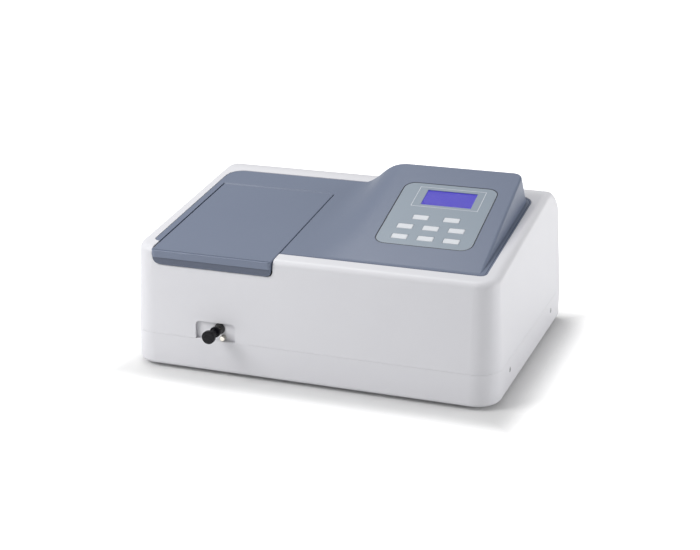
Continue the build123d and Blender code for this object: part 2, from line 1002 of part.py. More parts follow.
with BuildPart() as lcd_frame:
    with BuildSketch(console_plane.offset(frame_top)):
        add(display_outline(display_frame_margin))
    extrude(amount=-display_frame_depth)
    with BuildSketch(console_plane.offset(frame_top)):
        add(display_outline(1))
    extrude(amount=panel_bottom - frame_top, mode=Mode.SUBTRACT)
    with BuildSketch(console_plane.offset(frame_top - display_frame_depth)):
        add(display_outline(display_frame_margin + display_ear))
    extrude(amount=-board_thickness)

with BuildPart() as key_board:
    with BuildSketch(console_plane.offset(key_board_top)):
        with Locations((key_board_x, key_board_along)):
            Rectangle(key_board_width, key_board_length)
            with GridLocations(2 * board_post_x, 2 * board_post_along, 2, 2):
                Circle(small_screw_radius, mode=Mode.SUBTRACT)
    extrude(amount=-board_thickness)
    with BuildSketch(console_plane.offset(key_board_top)):
        with Locations(*key_places):
            Rectangle(switch_size, switch_size)
    extrude(amount=switch_height - switch_plunger)
    with BuildSketch(console_plane.offset(key_board_top)):
        with Locations(*key_places):
            Circle(switch_plunger_radius)
    extrude(amount=switch_height)
    with BuildSketch(console_plane.offset(key_board_top - board_thickness)):
        with Locations((key_board_x, key_board_along)):
            Rectangle(*ribbon_socket[:2])
    extrude(amount=-ribbon_socket[2])

label_and_export(keypad_overlay.part, "keypad_overlay")
label_and_export(lcd_window.part, "lcd_window")
label_and_export(lcd_panel.part, "lcd_panel")
label_and_export(lcd_frame.part, "lcd_frame")
label_and_export(key_board.part, "key_board")


# Fasteners and feet


def screw(radius, length, head_radius, head, slotted=False):
    """A screw along Z: its shank hangs down from the origin, its head stands on it."""
    with BuildPart(mode=Mode.PRIVATE) as block:
        Cylinder(radius, length, align=(Align.CENTER, Align.CENTER, Align.MAX))
        with BuildSketch():
            if slotted:
                Circle(head_radius)
            else:
                RegularPolygon(head_radius, 6)
        extrude(amount=head)
        if slotted:
            fillet(block.edges().group_by(Axis.Z)[-1], head * 0.3)
            with Locations((0, 0, head)):
                Box(1.3 * head_radius, 0.3 * head_radius, head, mode=Mode.SUBTRACT)
                Box(0.3 * head_radius, 1.3 * head_radius, head, mode=Mode.SUBTRACT)
    return block.part


with BuildPart() as case_screws:
    seat = case_width / 2 - case_screw_head + case_screw_proud
    for side in (-1, 1):
        for y in screw_line:
            with Locations(Location((side * seat, y, screw_z), (0, side * 90, 0))):
                add(screw(
                    case_screw_radius - running_clearance,
                    case_screw_length,
                    case_screw_head_radius - case_screw_gap,
                    case_screw_head,
                    slotted=True,
                ))
    for x, y in foot_spots:
        with Locations(Location((x, y, foot_recess), (180, 0, 0))):
            add(screw(
                foot_screw_radius - running_clearance,
                foot_screw_length,
                foot_screw_head_radius,
                foot_screw_head,
                slotted=True,
            ))

with BuildPart() as rubber_feet:
    for x, y in foot_spots:
        with Locations((x, y, 0)):
            Cylinder(foot_radius, foot_height, align=(Align.CENTER, Align.CENTER, Align.MIN))
            Cylinder(
                foot_screw_radius, 3 * foot_height, mode=Mode.SUBTRACT
            )
            Cylinder(
                foot_screw_head_radius + 0.5,
                foot_recess,
                align=(Align.CENTER, Align.CENTER, Align.MIN),
                mode=Mode.SUBTRACT,
            )
    rims = [edge for edge in rubber_feet.edges().group_by(Axis.Z)[0] if edge.radius > foot_radius - 1]
    fillet(rims, foot_edge_radius)

label_and_export(case_screws.part, "case_screws")
label_and_export(rubber_feet.part, "rubber_feet")


# Optical bench on its rubber grommets

with BuildPart() as optical_bench:
    box_between(
        (bench_left, bench_right), (at(bench_front), at(bench_rear)), (bench_top - bench_thickness, bench_top)
    )
    box_between(
        (bench_right - 1, wing_right), (at(wing_front), at(bench_rear)),
        (bench_top - bench_thickness, bench_top)
    )
    fillet(optical_bench.edges().filter_by(Axis.Z), bench_corner_radius)
    with Locations(*[(x, y, bench_top) for x, y in bench_spots]):
        Cylinder(bench_screw_radius, 3 * bench_thickness, mode=Mode.SUBTRACT)
    for distance in (grating_distance, motor_distance):
        with Locations((grating_x, at(distance), bench_top)):
            Cylinder(shaft_hole_radius, 3 * bench_thickness, mode=Mode.SUBTRACT)

with BuildPart() as bench_grommets:
    with Locations(*[(x, y, pillar_top) for x, y in bench_spots]):
        Cylinder(grommet_radius, grommet_height, align=(Align.CENTER, Align.CENTER, Align.MIN))
        Cylinder(bench_screw_radius, 4 * grommet_height, mode=Mode.SUBTRACT)

with BuildPart() as bench_screws:
    for x, y in bench_spots:
        with Locations((x, y, bench_top)):
            add(screw(
                bench_screw_radius - running_clearance,
                bench_thickness + grommet_height + grommet_height,
                bench_screw_head_radius,
                bench_screw_head,
            ))

label_and_export(optical_bench.part, "optical_bench")
label_and_export(bench_grommets.part, "bench_grommets")
label_and_export(bench_screws.part, "bench_screws")


# Sample compartment and its cell changer


def rod_along(x, z, radius, from_distance, to_distance, mode=Mode.ADD):
    """A round bar from front to back."""
    with BuildSketch(front_plane(from_distance), mode=Mode.PRIVATE) as outline:
        with Locations((x, z)):
            Circle(radius)
    extrude(outline.sketch, amount=from_distance - to_distance, mode=mode)


def bar_across(distance, z, radius, x_range, mode=Mode.ADD):
    """A round bar from left to right."""
    with BuildSketch(Plane.YZ.offset(x_range[0]), mode=Mode.PRIVATE) as outline:
        with Locations((at(distance), z)):
            Circle(radius)
    extrude(outline.sketch, amount=x_range[1] - x_range[0], mode=mode)


box_plane = deck_plane.offset(-lid_skirt - 1)
rail_xs = (carriage_x - rail_spacing / 2, carriage_x + rail_spacing / 2)

with BuildPart() as compartment_box:
    box_between(
        (box_left - box_wall, box_right + box_wall),
        (at(box_front - box_wall), at(box_rear + box_wall)),
        (bench_top, rim_z(box_rear)),
    )
    with BuildSketch(box_plane):
        Rectangle(2 * case_width, 3 * case_depth)
    extrude(amount=case_depth, mode=Mode.SUBTRACT)
    with BuildSketch(box_plane):
        x, width = span(hinge_x[0] - box_margin, hinge_x[1] + box_margin)
        along, length = span(box_flange_front, box_flange_rear)
        with Locations((x, along)):
            Rectangle(width, length)
    extrude(amount=-box_flange)
    with BuildSketch(box_plane):
        with Locations((x, box_flange_front + box_flange / 2)):
            Rectangle(width, box_flange)
    extrude(amount=-box_lip)
    box_between(
        (box_left, box_right), (at(box_front), at(box_rear)),
        (bench_top + box_floor, rim_z(box_rear)), Mode.SUBTRACT
    )
    fillet(
        [
            edge
            for edge in compartment_box.edges().filter_by(Axis.Z)
            if box_left - 1 < edge.center().X < box_right + 1
            and at(box_front) - 1 < edge.center().Y < at(box_rear) + 1
        ],
        box_corner_radius,
    )
    bar_across(
        beam_distance,
        beam_z,
        beam_hole_radius,
        (box_left - 2 * box_wall, box_right + 2 * box_wall),
        Mode.SUBTRACT,
    )
    rod_along(rod_x, rod_z, bush_radius, box_front - 2 * box_wall, box_front + box_wall, Mode.SUBTRACT)
    for x in rail_xs:
        rod_along(x, rail_z, rail_radius, box_front - box_wall, box_rear + box_wall, Mode.SUBTRACT)

with BuildPart() as guide_rails:
    for x in rail_xs:
        rod_along(x, rail_z, rail_radius, box_front - box_wall, box_rear + box_wall)

slot_spots = [at(beam_distance + number * cell_pitch) for number in range(cell_count)]

with BuildPart() as cell_carriage:
    y_range = (at(carriage_front), at(carriage_rear))
    box_between(
        (carriage_x - carriage_width / 2, carriage_x + carriage_width / 2),
        y_range,
        (carriage_bottom, carriage_waist),
    )
    box_between(
        (carriage_x - holder_width / 2, carriage_x + holder_width / 2),
        y_range,
        (carriage_bottom, carriage_top),
    )
    chamfer(cell_carriage.faces().sort_by(Axis.Z)[-1].edges(), carriage_bevel)
    box_between(
        (carriage_x, carriage_x + carriage_width / 2),
        (at(carriage_front), at(carriage_front + lug_depth)),
        (carriage_bottom, lug_top),
    )
    for y in slot_spots:
        half = cell_slot / 2
        box_between(
            (carriage_x - half, carriage_x + half), (y - half, y + half),
            (cell_seat, 2 * carriage_top), Mode.SUBTRACT
        )
        box_between(
            (carriage_x - holder_width, carriage_x + holder_width),
            (y - window_width / 2, y + window_width / 2),
            (window_bottom, window_top),
            Mode.SUBTRACT,
        )
    for x in rail_xs:
        rod_along(
            x, rail_z, rail_radius + running_clearance, carriage_front - 1, carriage_rear + 1, Mode.SUBTRACT
        )
    rod_along(rod_x, rod_z, spigot_radius, carriage_front - 1, spigot_end, Mode.SUBTRACT)

with BuildPart() as pull_rod:
    rod_along(rod_x, rod_z, rod_radius, knob_bottom, carriage_front)
    rod_along(rod_x, rod_z, spigot_radius, carriage_front - 1, spigot_end)

with BuildPart() as rod_knob:
    knob_back = knob_length - knob_reach
    rod_along(rod_x, rod_z, knob_front_radius, -knob_reach, knob_front_thickness - knob_reach)
    rod_along(rod_x, rod_z, knob_neck_radius, -knob_reach, knob_back)
    rod_along(rod_x, rod_z, knob_rear_radius, knob_back - knob_rear_thickness, knob_back)
    fillet(
        [
            edge for edge in rod_knob.edges().filter_by(GeomType.CIRCLE)
            if edge.radius > knob_neck_radius + 0.5
        ],
        knob_edge_radius,
    )
    rod_along(rod_x, rod_z, rod_radius, knob_bottom, knob_back + 1, Mode.SUBTRACT)

with BuildPart() as rod_bushes:
    rod_along(rod_x, rod_z, bush_flange_radius, upright_setback - bush_flange, upright_setback)
    rod_along(
        rod_x, rod_z, bush_radius, upright_setback - bush_flange, upright_setback - bush_flange + bush_length
    )
    outside = box_front - box_wall
    rod_along(rod_x, rod_z, bush_flange_radius, outside - bush_flange, outside)
    rod_along(rod_x, rod_z, bush_radius, outside - bush_flange, outside - bush_flange + box_bush_length)
    rod_along(rod_x, rod_z, rod_radius + running_clearance, 0, box_front + box_bush_length, Mode.SUBTRACT)

with BuildPart() as guide_screw:
    stud_front = upright_setback - guide_screw_head
    rod_along(guide_screw_x, guide_screw_z, guide_screw_radius, stud_front, upright_setback)
    chamfer(guide_screw.edges().group_by(Axis.Y)[0], guide_screw_bevel)
    rod_along(
        guide_screw_x,
        guide_screw_z,
        guide_shank_radius - running_clearance,
        upright_setback,
        upright_setback + guide_shank,
    )

label_and_export(compartment_box.part, "compartment_box")
label_and_export(guide_rails.part, "guide_rails")
label_and_export(cell_carriage.part, "cell_carriage")
label_and_export(pull_rod.part, "pull_rod")
label_and_export(rod_knob.part, "rod_knob")
label_and_export(rod_bushes.part, "rod_bushes")
label_and_export(guide_screw.part, "guide_screw")


# Monochromator and its grating drive


def gear_outline(teeth, phase):
    """Involute gear face, one tooth at the phase angle."""
    pitch = gear_module * teeth / 2
    base = pitch * cos(radians(pressure_angle))
    tip = pitch + gear_module
    root = pitch - 1.25 * gear_module
    half = pi / (2 * teeth) - gear_backlash / (4 * pitch)
    wide = half + tan(radians(pressure_angle)) - radians(pressure_angle)

    def flank(radius, side):
        angle = acos(min(base / radius, 1))
        turn = side * (wide - (tan(angle) - angle))
        return radius * cos(turn), radius * sin(turn)

    foot = root - gear_module / 2
    start = max(base, root)
    middle = (start + tip) / 2
    low, high = flank(start, -1), flank(start, 1)
    with BuildSketch(mode=Mode.PRIVATE) as tooth:
        with BuildLine():
            Line((foot * low[0] / start, foot * low[1] / start), low)
            ThreePointArc(low, flank(middle, -1), flank(tip, -1))
            Line(flank(tip, -1), flank(tip, 1))
            ThreePointArc(flank(tip, 1), flank(middle, 1), high)
            Line(high, (foot * high[0] / start, foot * high[1] / start))
            Line(
                (foot * high[0] / start, foot * high[1] / start),
                (foot * low[0] / start, foot * low[1] / start),
            )
        make_face()
    with BuildSketch(mode=Mode.PRIVATE) as outline:
        Circle(root)
        with PolarLocations(0, teeth, start_angle=phase):
            add(tooth.sketch)
    return outline.sketch


def post(x, distance, radius, z_range, mode=Mode.ADD):
    """An upright round bar."""
    with Locations((x, at(distance), z_range[0])):
        Cylinder(radius, z_range[1] - z_range[0], align=(Align.CENTER, Align.CENTER, Align.MIN), mode=mode)


mono_x = (mono_left, mono_right)
mono_y = (at(mono_front), at(mono_rear))
mono_floor = bench_top + mono_wall
cover_screw_spots = [
    (x, y)
    for x in (mono_left + cover_screw_inset, mono_right - cover_screw_inset)
    for y in (
        at(mono_front + cover_screw_inset), (mono_y[0] + mono_y[1]) / 2, at(mono_rear - cover_screw_inset)
    )
]

with BuildPart() as monochromator_housing:
    box_between(mono_x, mono_y, (bench_top, mono_top))
    fillet(monochromator_housing.edges().filter_by(Axis.Z), mono_radius)
    box_between(
        (mono_left + mono_wall, mono_right - mono_wall),
        (mono_y[0] + mono_wall, mono_y[1] - mono_wall),
        (mono_floor, 2 * mono_top),
        Mode.SUBTRACT,
    )
    for x, y in cover_screw_spots:
        with Locations((x, y, mono_floor - 1)):
            Cylinder(
                cover_boss_radius, mono_top - mono_floor + 1, align=(Align.CENTER, Align.CENTER, Align.MIN)
            )
    for x, y in cover_screw_spots:
        with Locations((x, y, mono_top)):
            Cylinder(small_screw_radius, 4 * mono_wall, mode=Mode.SUBTRACT)
    bar_across(
        lamp_distance, beam_z, port_radius, (mono_right - 2 * mono_wall, mono_right + 1), Mode.SUBTRACT
    )
    bar_across(beam_distance, beam_z, port_radius, (mono_left + 1, mono_left + 2 * mono_wall), Mode.SUBTRACT)
    post(
        grating_x,
        grating_distance,
        shaft_radius + running_clearance,
        (bench_top - 1, mono_floor + 1),
        Mode.SUBTRACT,
    )
    post(grating_x, motor_distance, shaft_hole_radius, (bench_top - 1, mono_floor + 1), Mode.SUBTRACT)
    bar_across(beam_distance, beam_z, port_radius + tube_wall, (box_right + box_wall, mono_left + 1))
    bar_across(beam_distance, beam_z, beam_hole_radius, (box_right, mono_left + 2 * mono_wall), Mode.SUBTRACT)
    for x, distance in (
        (mono_right - mono_wall - slit_thickness, lamp_distance), (mono_left + mono_wall, beam_distance)
    ):
        box_between(
            (x, x + slit_thickness),
            (at(distance - slit_plate[0] / 2), at(distance + slit_plate[0] / 2)),
            (mono_floor, beam_z + slit_plate[1] / 2),
        )
        box_between(
            (x - 1, x + slit_thickness + 1),
            (at(distance - slit_width / 2), at(distance + slit_width / 2)),
            (beam_z - slit_length / 2, beam_z + slit_length / 2),
            Mode.SUBTRACT,
        )

with BuildPart() as monochromator_cover:
    box_between(mono_x, mono_y, (mono_top, mono_top + cover_thickness))
    fillet(monochromator_cover.edges().filter_by(Axis.Z), mono_radius)
    for x, y in cover_screw_spots:
        with Locations((x, y, mono_top)):
            Cylinder(small_screw_radius, 4 * cover_thickness, mode=Mode.SUBTRACT)

mirror_spots = (
    Location((mirror_x, at(lamp_distance), 0), (0, 0, collimator_turn)),
    Location((mirror_x, at(camera_mirror_distance), 0), (0, 0, camera_mirror_turn)),
)

fold_spot = Location((fold_mirror_x, at(beam_distance + fold_shift), 0), (0, 0, fold_turn))
mirror_top = beam_z + mirror_radius / 2

with BuildPart() as mirrors:
    for spot in mirror_spots:
        with Locations(spot):
            with Locations(Location((-mirror_thickness / 2, 0, beam_z), (0, 90, 0))):
                Cylinder(mirror_radius, mirror_thickness)
    for spot in mirror_spots:
        with Locations(spot):
            with Locations((mirror_curve - mirror_sag, 0, beam_z)):
                Sphere(mirror_curve, mode=Mode.SUBTRACT)
    with Locations(fold_spot):
        with Locations((0, 0, beam_z)):
            Box(mount_thickness, mount_width, mount_width, align=(Align.MIN, Align.CENTER, Align.CENTER))

with BuildPart() as mirror_mounts:
    for spot in (*mirror_spots, fold_spot):
        back = 0 if spot is fold_spot else mirror_thickness
        with Locations(spot):
            with Locations((-back, 0, mono_floor)):
                Box(
                    mount_thickness,
                    mount_width,
                    mirror_top - mono_floor,
                    align=(Align.MAX, Align.CENTER, Align.MIN),
                )
                Box(
                    mirror_thickness + mount_thickness,
                    mount_width,
                    mount_foot,
                    align=(Align.CENTER, Align.CENTER, Align.MIN),
                )

with BuildPart() as grating_table:
    with BuildSketch(Plane((grating_x, at(grating_distance), gear_z))):
        add(gear_outline(gear_teeth, 0))
    extrude(amount=gear_thickness)
    post(grating_x, grating_distance, shaft_radius, (shaft_bottom, table_z))
    post(grating_x, grating_distance, hub_radius, (gear_z + gear_thickness, table_z))
    post(grating_x, grating_distance, table_radius, (table_z, table_z + table_thickness))
    with Locations((grating_x, at(grating_distance) + grating_size[2] / 2, table_z)):
        Box(
            grating_size[0],
            table_thickness,
            2 * table_thickness + grating_size[1] / 2,
            align=(Align.CENTER, Align.MIN, Align.MIN),
        )

with BuildPart() as diffraction_grating:
    with Locations((grating_x, at(grating_distance), table_z + table_thickness)):
        Box(
            grating_size[0], grating_size[2], grating_size[1],
            align=(Align.CENTER, Align.CENTER, Align.MIN),
        )

with BuildPart() as grating_pinion:
    with BuildSketch(Plane((grating_x, at(motor_distance), gear_z))):
        add(gear_outline(pinion_teeth, 180 / pinion_teeth))
    extrude(amount=gear_thickness)
    post(grating_x, motor_distance, motor_shaft_radius, (motor_shaft_bottom, gear_z))

with BuildPart() as grating_motor:
    below = bench_top - bench_thickness
    post(grating_x, motor_distance, motor_radius, (below - motor_length, below))
    post(grating_x, motor_distance, motor_nose_radius, (below - 1, bench_top))
    with Locations((grating_x, at(motor_distance), below)):
        Box(
            2 * motor_ear,
            2 * small_screw_head_radius,
            slit_thickness,
            align=(Align.CENTER, Align.CENTER, Align.MAX),
        )
    post(
        grating_x,
        motor_distance,
        motor_shaft_radius + running_clearance,
        (motor_shaft_bottom - 1, bench_top + 1),
        Mode.SUBTRACT,
    )

label_and_export(monochromator_housing.part, "monochromator_housing")
label_and_export(monochromator_cover.part, "monochromator_cover")
label_and_export(mirrors.part, "mirrors")
label_and_export(mirror_mounts.part, "mirror_mounts")
label_and_export(grating_table.part, "grating_table")
label_and_export(diffraction_grating.part, "diffraction_grating")
label_and_export(grating_pinion.part, "grating_pinion")
label_and_export(grating_motor.part, "grating_motor")


# Lamp, lens and filter wheel

lamp_x_range = (lamp_left, lamp_right)
lamp_y = (at(lamp_front), at(lamp_rear))

with BuildPart() as lamp_house:
    box_between(lamp_x_range, lamp_y, (bench_top, lamp_top))
    box_between(
        (lamp_left + sheet, lamp_right - sheet),
        (lamp_y[0] + sheet, lamp_y[1] - sheet),
        (bench_top - 1, lamp_top - sheet),
        Mode.SUBTRACT,
    )
    for side in (0, 1):
        edge = lamp_y[side]
        out = (edge - lamp_tab, edge + sheet) if side == 0 else (edge - sheet, edge + lamp_tab)
        box_between((lamp_left, lamp_left + lamp_tab_width), out, (bench_top, bench_top + sheet))
    bar_across(lamp_distance, beam_z, lens_radius, (lamp_left - 1, lamp_left + 2 * sheet), Mode.SUBTRACT)
    with BuildSketch(Plane.XY.offset(lamp_top - 2 * sheet)):
        with Locations((lamp_x, at(lamp_distance))):
            with GridLocations(1, louvre_pitch, 1, lamp_louvres):
                SlotOverall(lamp_louvre[0], lamp_louvre[1])
    extrude(amount=3 * sheet, mode=Mode.SUBTRACT)
    with BuildSketch(Plane.YZ.offset(lamp_right - 2 * sheet)):
        with Locations((at(lamp_distance), beam_z)):
            with GridLocations(1, louvre_pitch, 1, lamp_louvres - 1):
                SlotOverall(lamp_louvre[0], lamp_louvre[1])
    extrude(amount=3 * sheet, mode=Mode.SUBTRACT)

with BuildPart() as lamp_socket:
    with Locations((lamp_x, at(lamp_distance), bench_top)):
        Box(*socket_size, align=(Align.CENTER, Align.CENTER, Align.MIN))
    chamfer(lamp_socket.edges().filter_by(Axis.Z), sheet)

with BuildPart() as halogen_lamp:
    socket_top = bench_top + socket_size[2]
    post(lamp_x, lamp_distance, lamp_radius, (socket_top, socket_top + lamp_length - lamp_radius))
    with Locations((lamp_x, at(lamp_distance), socket_top + lamp_length - lamp_radius)):
        Sphere(lamp_radius)

with BuildPart() as lens_mount:
    box_between(
        (lens_mount_x, lens_mount_x + lens_mount_thickness),
        (at(lamp_distance - lens_mount_half), at(lamp_distance + lens_mount_half)),
        (bench_top, lens_mount_top),
    )
    box_between(
        (lens_mount_x - lens_foot, lens_mount_x + lens_mount_thickness),
        (at(lamp_distance - lens_mount_half), at(lamp_distance + lens_mount_half)),
        (bench_top, bench_top + mono_wall),
    )
    bar_across(
        lamp_distance,
        beam_z,
        lens_radius,
        (lens_mount_x - 1, lens_mount_x + 2 * lens_mount_thickness),
        Mode.SUBTRACT,
    )

with BuildPart() as condenser_lens:
    middle = lens_mount_x + lens_mount_thickness / 2

    def face(side, height):
        sag = lens_curve - sqrt(lens_curve**2 - height**2)
        return middle + side * (lens_thickness / 2 - sag), beam_z + height

    with BuildSketch(front_plane(lamp_distance)):
        with BuildLine():
            Line(face(-1, 0), face(1, 0))
            ThreePointArc(face(1, 0), face(1, lens_radius / 2), face(1, lens_radius))
            Line(face(1, lens_radius), face(-1, lens_radius))
            ThreePointArc(face(-1, lens_radius), face(-1, lens_radius / 2), face(-1, 0))
        make_face()
    revolve(axis=Axis((0, at(lamp_distance), beam_z), (1, 0, 0)))

wheel_z = beam_z + filter_orbit

with BuildPart() as filter_wheel:
    bar_across(lamp_distance, wheel_z, wheel_radius, (wheel_x, wheel_x + wheel_thickness))
    bar_across(lamp_distance, wheel_z, wheel_hub_radius, (wheel_x, wheel_x + wheel_thickness + wheel_hub))
    with BuildSketch(Plane.YZ.offset(wheel_x - 1)):
        with Locations((at(lamp_distance), wheel_z)):
            with PolarLocations(filter_orbit, filter_count, start_angle=-90):
                Circle(filter_radius)
    extrude(amount=2 * wheel_thickness, mode=Mode.SUBTRACT)
    bar_across(
        lamp_distance, wheel_z, motor_shaft_radius, (wheel_x + 1, wheel_x + wheel_thickness + wheel_shaft)
    )

with BuildPart() as filter_glasses:
    with BuildSketch(Plane.YZ.offset(wheel_x + wheel_thickness / 4)):
        with Locations((at(lamp_distance), wheel_z)):
            with PolarLocations(filter_orbit, filter_count, start_angle=-90):
                Circle(filter_radius)
    extrude(amount=wheel_thickness / 2)

with BuildPart() as filter_motor:
    motor_x = wheel_x + wheel_thickness + wheel_hub + 0.5
    bar_across(lamp_distance, wheel_z, filter_motor_radius, (motor_x, lens_mount_x))
    bar_across(
        lamp_distance, wheel_z, motor_shaft_radius + running_clearance,
        (motor_x - 1, lens_mount_x - 2), Mode.SUBTRACT
    )

label_and_export(lamp_house.part, "lamp_house")
label_and_export(lamp_socket.part, "lamp_socket")
label_and_export(halogen_lamp.part, "halogen_lamp")
label_and_export(lens_mount.part, "lens_mount")
label_and_export(condenser_lens.part, "condenser_lens")
label_and_export(filter_wheel.part, "filter_wheel")
label_and_export(filter_glasses.part, "filter_glasses")
label_and_export(filter_motor.part, "filter_motor")


# Detector

detector_x = (detector_left, box_left - box_wall - detector_gap)
detector_y = (at(beam_distance - detector_half), at(beam_distance + detector_half))

with BuildPart() as detector_housing:
    box_between(detector_x, detector_y, (bench_top, detector_top))
    box_between(
        (detector_left - 1, detector_x[1] - detector_front_wall),
        (detector_y[0] + box_wall, detector_y[1] - box_wall),
        (bench_top + box_wall, detector_top - box_wall),
        Mode.SUBTRACT,
    )
    fillet(detector_housing.edges().filter_by(Axis.X).group_by(Axis.Z)[-1], box_wall)
    bar_across(beam_distance, beam_z, beam_hole_radius, (detector_left, detector_x[1] + 1), Mode.SUBTRACT)
    bar_across(
        beam_distance, beam_z, photodiode_radius,
        (detector_left, detector_x[1] - detector_front_wall / 2), Mode.SUBTRACT
    )

with BuildPart() as preamp_board:
    box_between(
        (preamp_x - board_thickness, preamp_x),
        (detector_y[0] + box_wall + detector_gap, detector_y[1] - box_wall - detector_gap),
        (bench_top + box_wall, detector_top - 2 * box_wall),
    )
    for offset, size in preamp_chips:
        box_between(
            (preamp_x - board_thickness - 2, preamp_x - board_thickness),
            (at(beam_distance + offset[0] - size / 2), at(beam_distance + offset[0] + size / 2)),
            (beam_z + offset[1] - size / 2, beam_z + offset[1] + size / 2),
        )
    face = detector_x[1] - detector_front_wall / 2
    bar_across(beam_distance, beam_z, photodiode_radius, (face - photodiode_depth, face))
    for offset in (-photodiode_radius / 2, photodiode_radius / 2):
        bar_across(
            beam_distance + offset, beam_z, photodiode_leg,
            (preamp_x - board_thickness / 2, face - photodiode_depth + 1)
        )

label_and_export(detector_housing.part, "detector_housing")
label_and_export(preamp_board.part, "preamp_board")


# Main board and power supply

board_corners = [
    (x, distance)
    for x in (board_left + board_inset, board_right - board_inset)
    for distance in (board_front + board_inset, board_rear - board_inset)
]
supply_corners = [(x, distance) for x in supply_post_x for distance in supply_post_distances]

with BuildPart() as main_board:
    box_between(
        (board_left, board_right), (at(board_front), at(board_rear)), (board_z, board_z + board_thickness)
    )
    for x, distance in board_corners:
        post(x, distance, small_screw_radius, (board_z - 1, board_z + 2 * board_thickness), Mode.SUBTRACT)
    for x, distance, width, depth, height in board_blocks:
        with Locations((x, at(distance), board_z + board_thickness)):
            Box(width, depth, height, align=(Align.CENTER, Align.CENTER, Align.MIN))
    for x, distance, radius, height in board_cans:
        post(x, distance, radius, (board_z + board_thickness, board_z + board_thickness + height))

with BuildPart() as board_standoffs:
    for x, distance in board_corners:
        post(x, distance, standoff_radius, (floor_z, board_z))
        post(x, distance, small_screw_radius, (floor_z + standoff_floor, board_z + 1), Mode.SUBTRACT)
    for x, distance in supply_corners:
        post(x, distance, standoff_radius, (floor_z, supply_z))

with BuildPart() as small_screws:
    for x, distance in board_corners:
        with Locations((x, at(distance), board_z + board_thickness)):
            add(screw(
                small_screw_radius - running_clearance, small_screw_length,
                small_screw_head_radius, small_screw_head
            ))
    for x, y in cover_screw_spots:
        with Locations((x, y, mono_top + cover_thickness)):
            add(screw(
                small_screw_radius - running_clearance, small_screw_length,
                small_screw_head_radius, small_screw_head
            ))
    for side_x in (-1, 1):
        for side_along in (-1, 1):
            spot = console_plane.from_local_coords((
                key_board_x + side_x * board_post_x,
                key_board_along + side_along * board_post_along,
                key_board_top - board_thickness,
            ))
            with Locations(Plane(spot, x_dir=(1, 0, 0), z_dir=-console_plane.z_dir)):
                add(screw(
                    small_screw_radius - running_clearance, small_screw_length,
                    small_screw_head_radius, small_screw_head
                ))
    for x, up in panel_spots:
        seat = panel_face.offset(-sheet).from_local_coords((x, up, 0))
        with Locations(Plane(seat, x_dir=(1, 0, 0), z_dir=-rear_plane.z_dir)):
            add(screw(
                small_screw_radius - running_clearance, sheet + panel_screw_bite,
                small_screw_head_radius, small_screw_head
            ))

supply_y = (at(supply_front), at(supply_rear))

with BuildPart() as power_supply:
    box_between((supply_left, supply_right), supply_y, (supply_z, supply_z + sheet))
    for x_range in ((supply_left, supply_left + sheet), (supply_right - sheet, supply_right)):
        box_between(x_range, supply_y, (supply_z, supply_z + supply_height))
    for x, distance, width, depth, height in supply_blocks:
        with Locations((x, at(distance), supply_z + sheet)):
            Box(width, depth, height, align=(Align.CENTER, Align.CENTER, Align.MIN))
    for x, distance, radius, height in supply_cans:
        post(x, distance, radius, (supply_z + sheet, supply_z + sheet + height))

label_and_export(main_board.part, "main_board")
label_and_export(board_standoffs.part, "board_standoffs")
label_and_export(small_screws.part, "small_screws")
label_and_export(power_supply.part, "power_supply")


# Rear panel, its sockets and the fan

inlet_spot = (-inlet_x, inlet_up)
rocker_spot = (-inlet_x, rocker_up)
port_spot = (-port_x, port_up)
fan_spot = (-fan_x, fan_up)


def plate_on(plane, spot, width, height, radius, depth, mode=Mode.ADD):
    """A block with rounded corners, going inwards from a plane."""
    with BuildSketch(plane, mode=Mode.PRIVATE) as outline:
        with Locations(spot):
            RectangleRounded(width, height, radius)
    extrude(outline.sketch, amount=-depth, mode=mode)


def disc_on(plane, spot, radius, depth, mode=Mode.ADD):
    """A round bar, going inwards from a plane."""
    with BuildSketch(plane, mode=Mode.PRIVATE) as outline:
        with Locations(spot):
            Circle(radius)
    extrude(outline.sketch, amount=-depth, mode=mode)


with BuildPart() as rear_panel:
    middle_x, wide = span(rear_window_x[0] - rear_window_x[1] / 2 - panel_margin, rear_window_x[0] + rear_window_x[1] / 2 + panel_margin)
    plate_on(panel_face, (-middle_x, rear_window_up[0]), wide, rear_window_up[1] + 2 * panel_margin, 1, sheet)
    with BuildSketch(panel_face.offset(1)):
        with Locations(fan_spot):
            for radius in grille_radii:
                Circle(radius + grille_slot / 2)
                Circle(radius - grille_slot / 2, mode=Mode.SUBTRACT)
            for angle in (45, 135):
                Rectangle(fan_size, grille_web, rotation=angle, mode=Mode.SUBTRACT)
            with GridLocations(fan_screw_pitch, fan_screw_pitch, 2, 2):
                Circle(small_screw_radius)
        with Locations((-louvre_x, rear_window_up[0])):
            with GridLocations(1, louvre_pitch, 1, rear_louvres):
                SlotOverall(*rear_louvre)
        with Locations(*panel_spots):
            Circle(small_screw_radius)
        with Locations(inlet_spot):
            Rectangle(inlet_body[0], inlet_body[1])
        with Locations(rocker_spot):
            Rectangle(bezel_body[0], bezel_body[1])
        with Locations(port_spot):
            Rectangle(port_body[0], port_body[1])
    extrude(amount=-4 * sheet, mode=Mode.SUBTRACT)

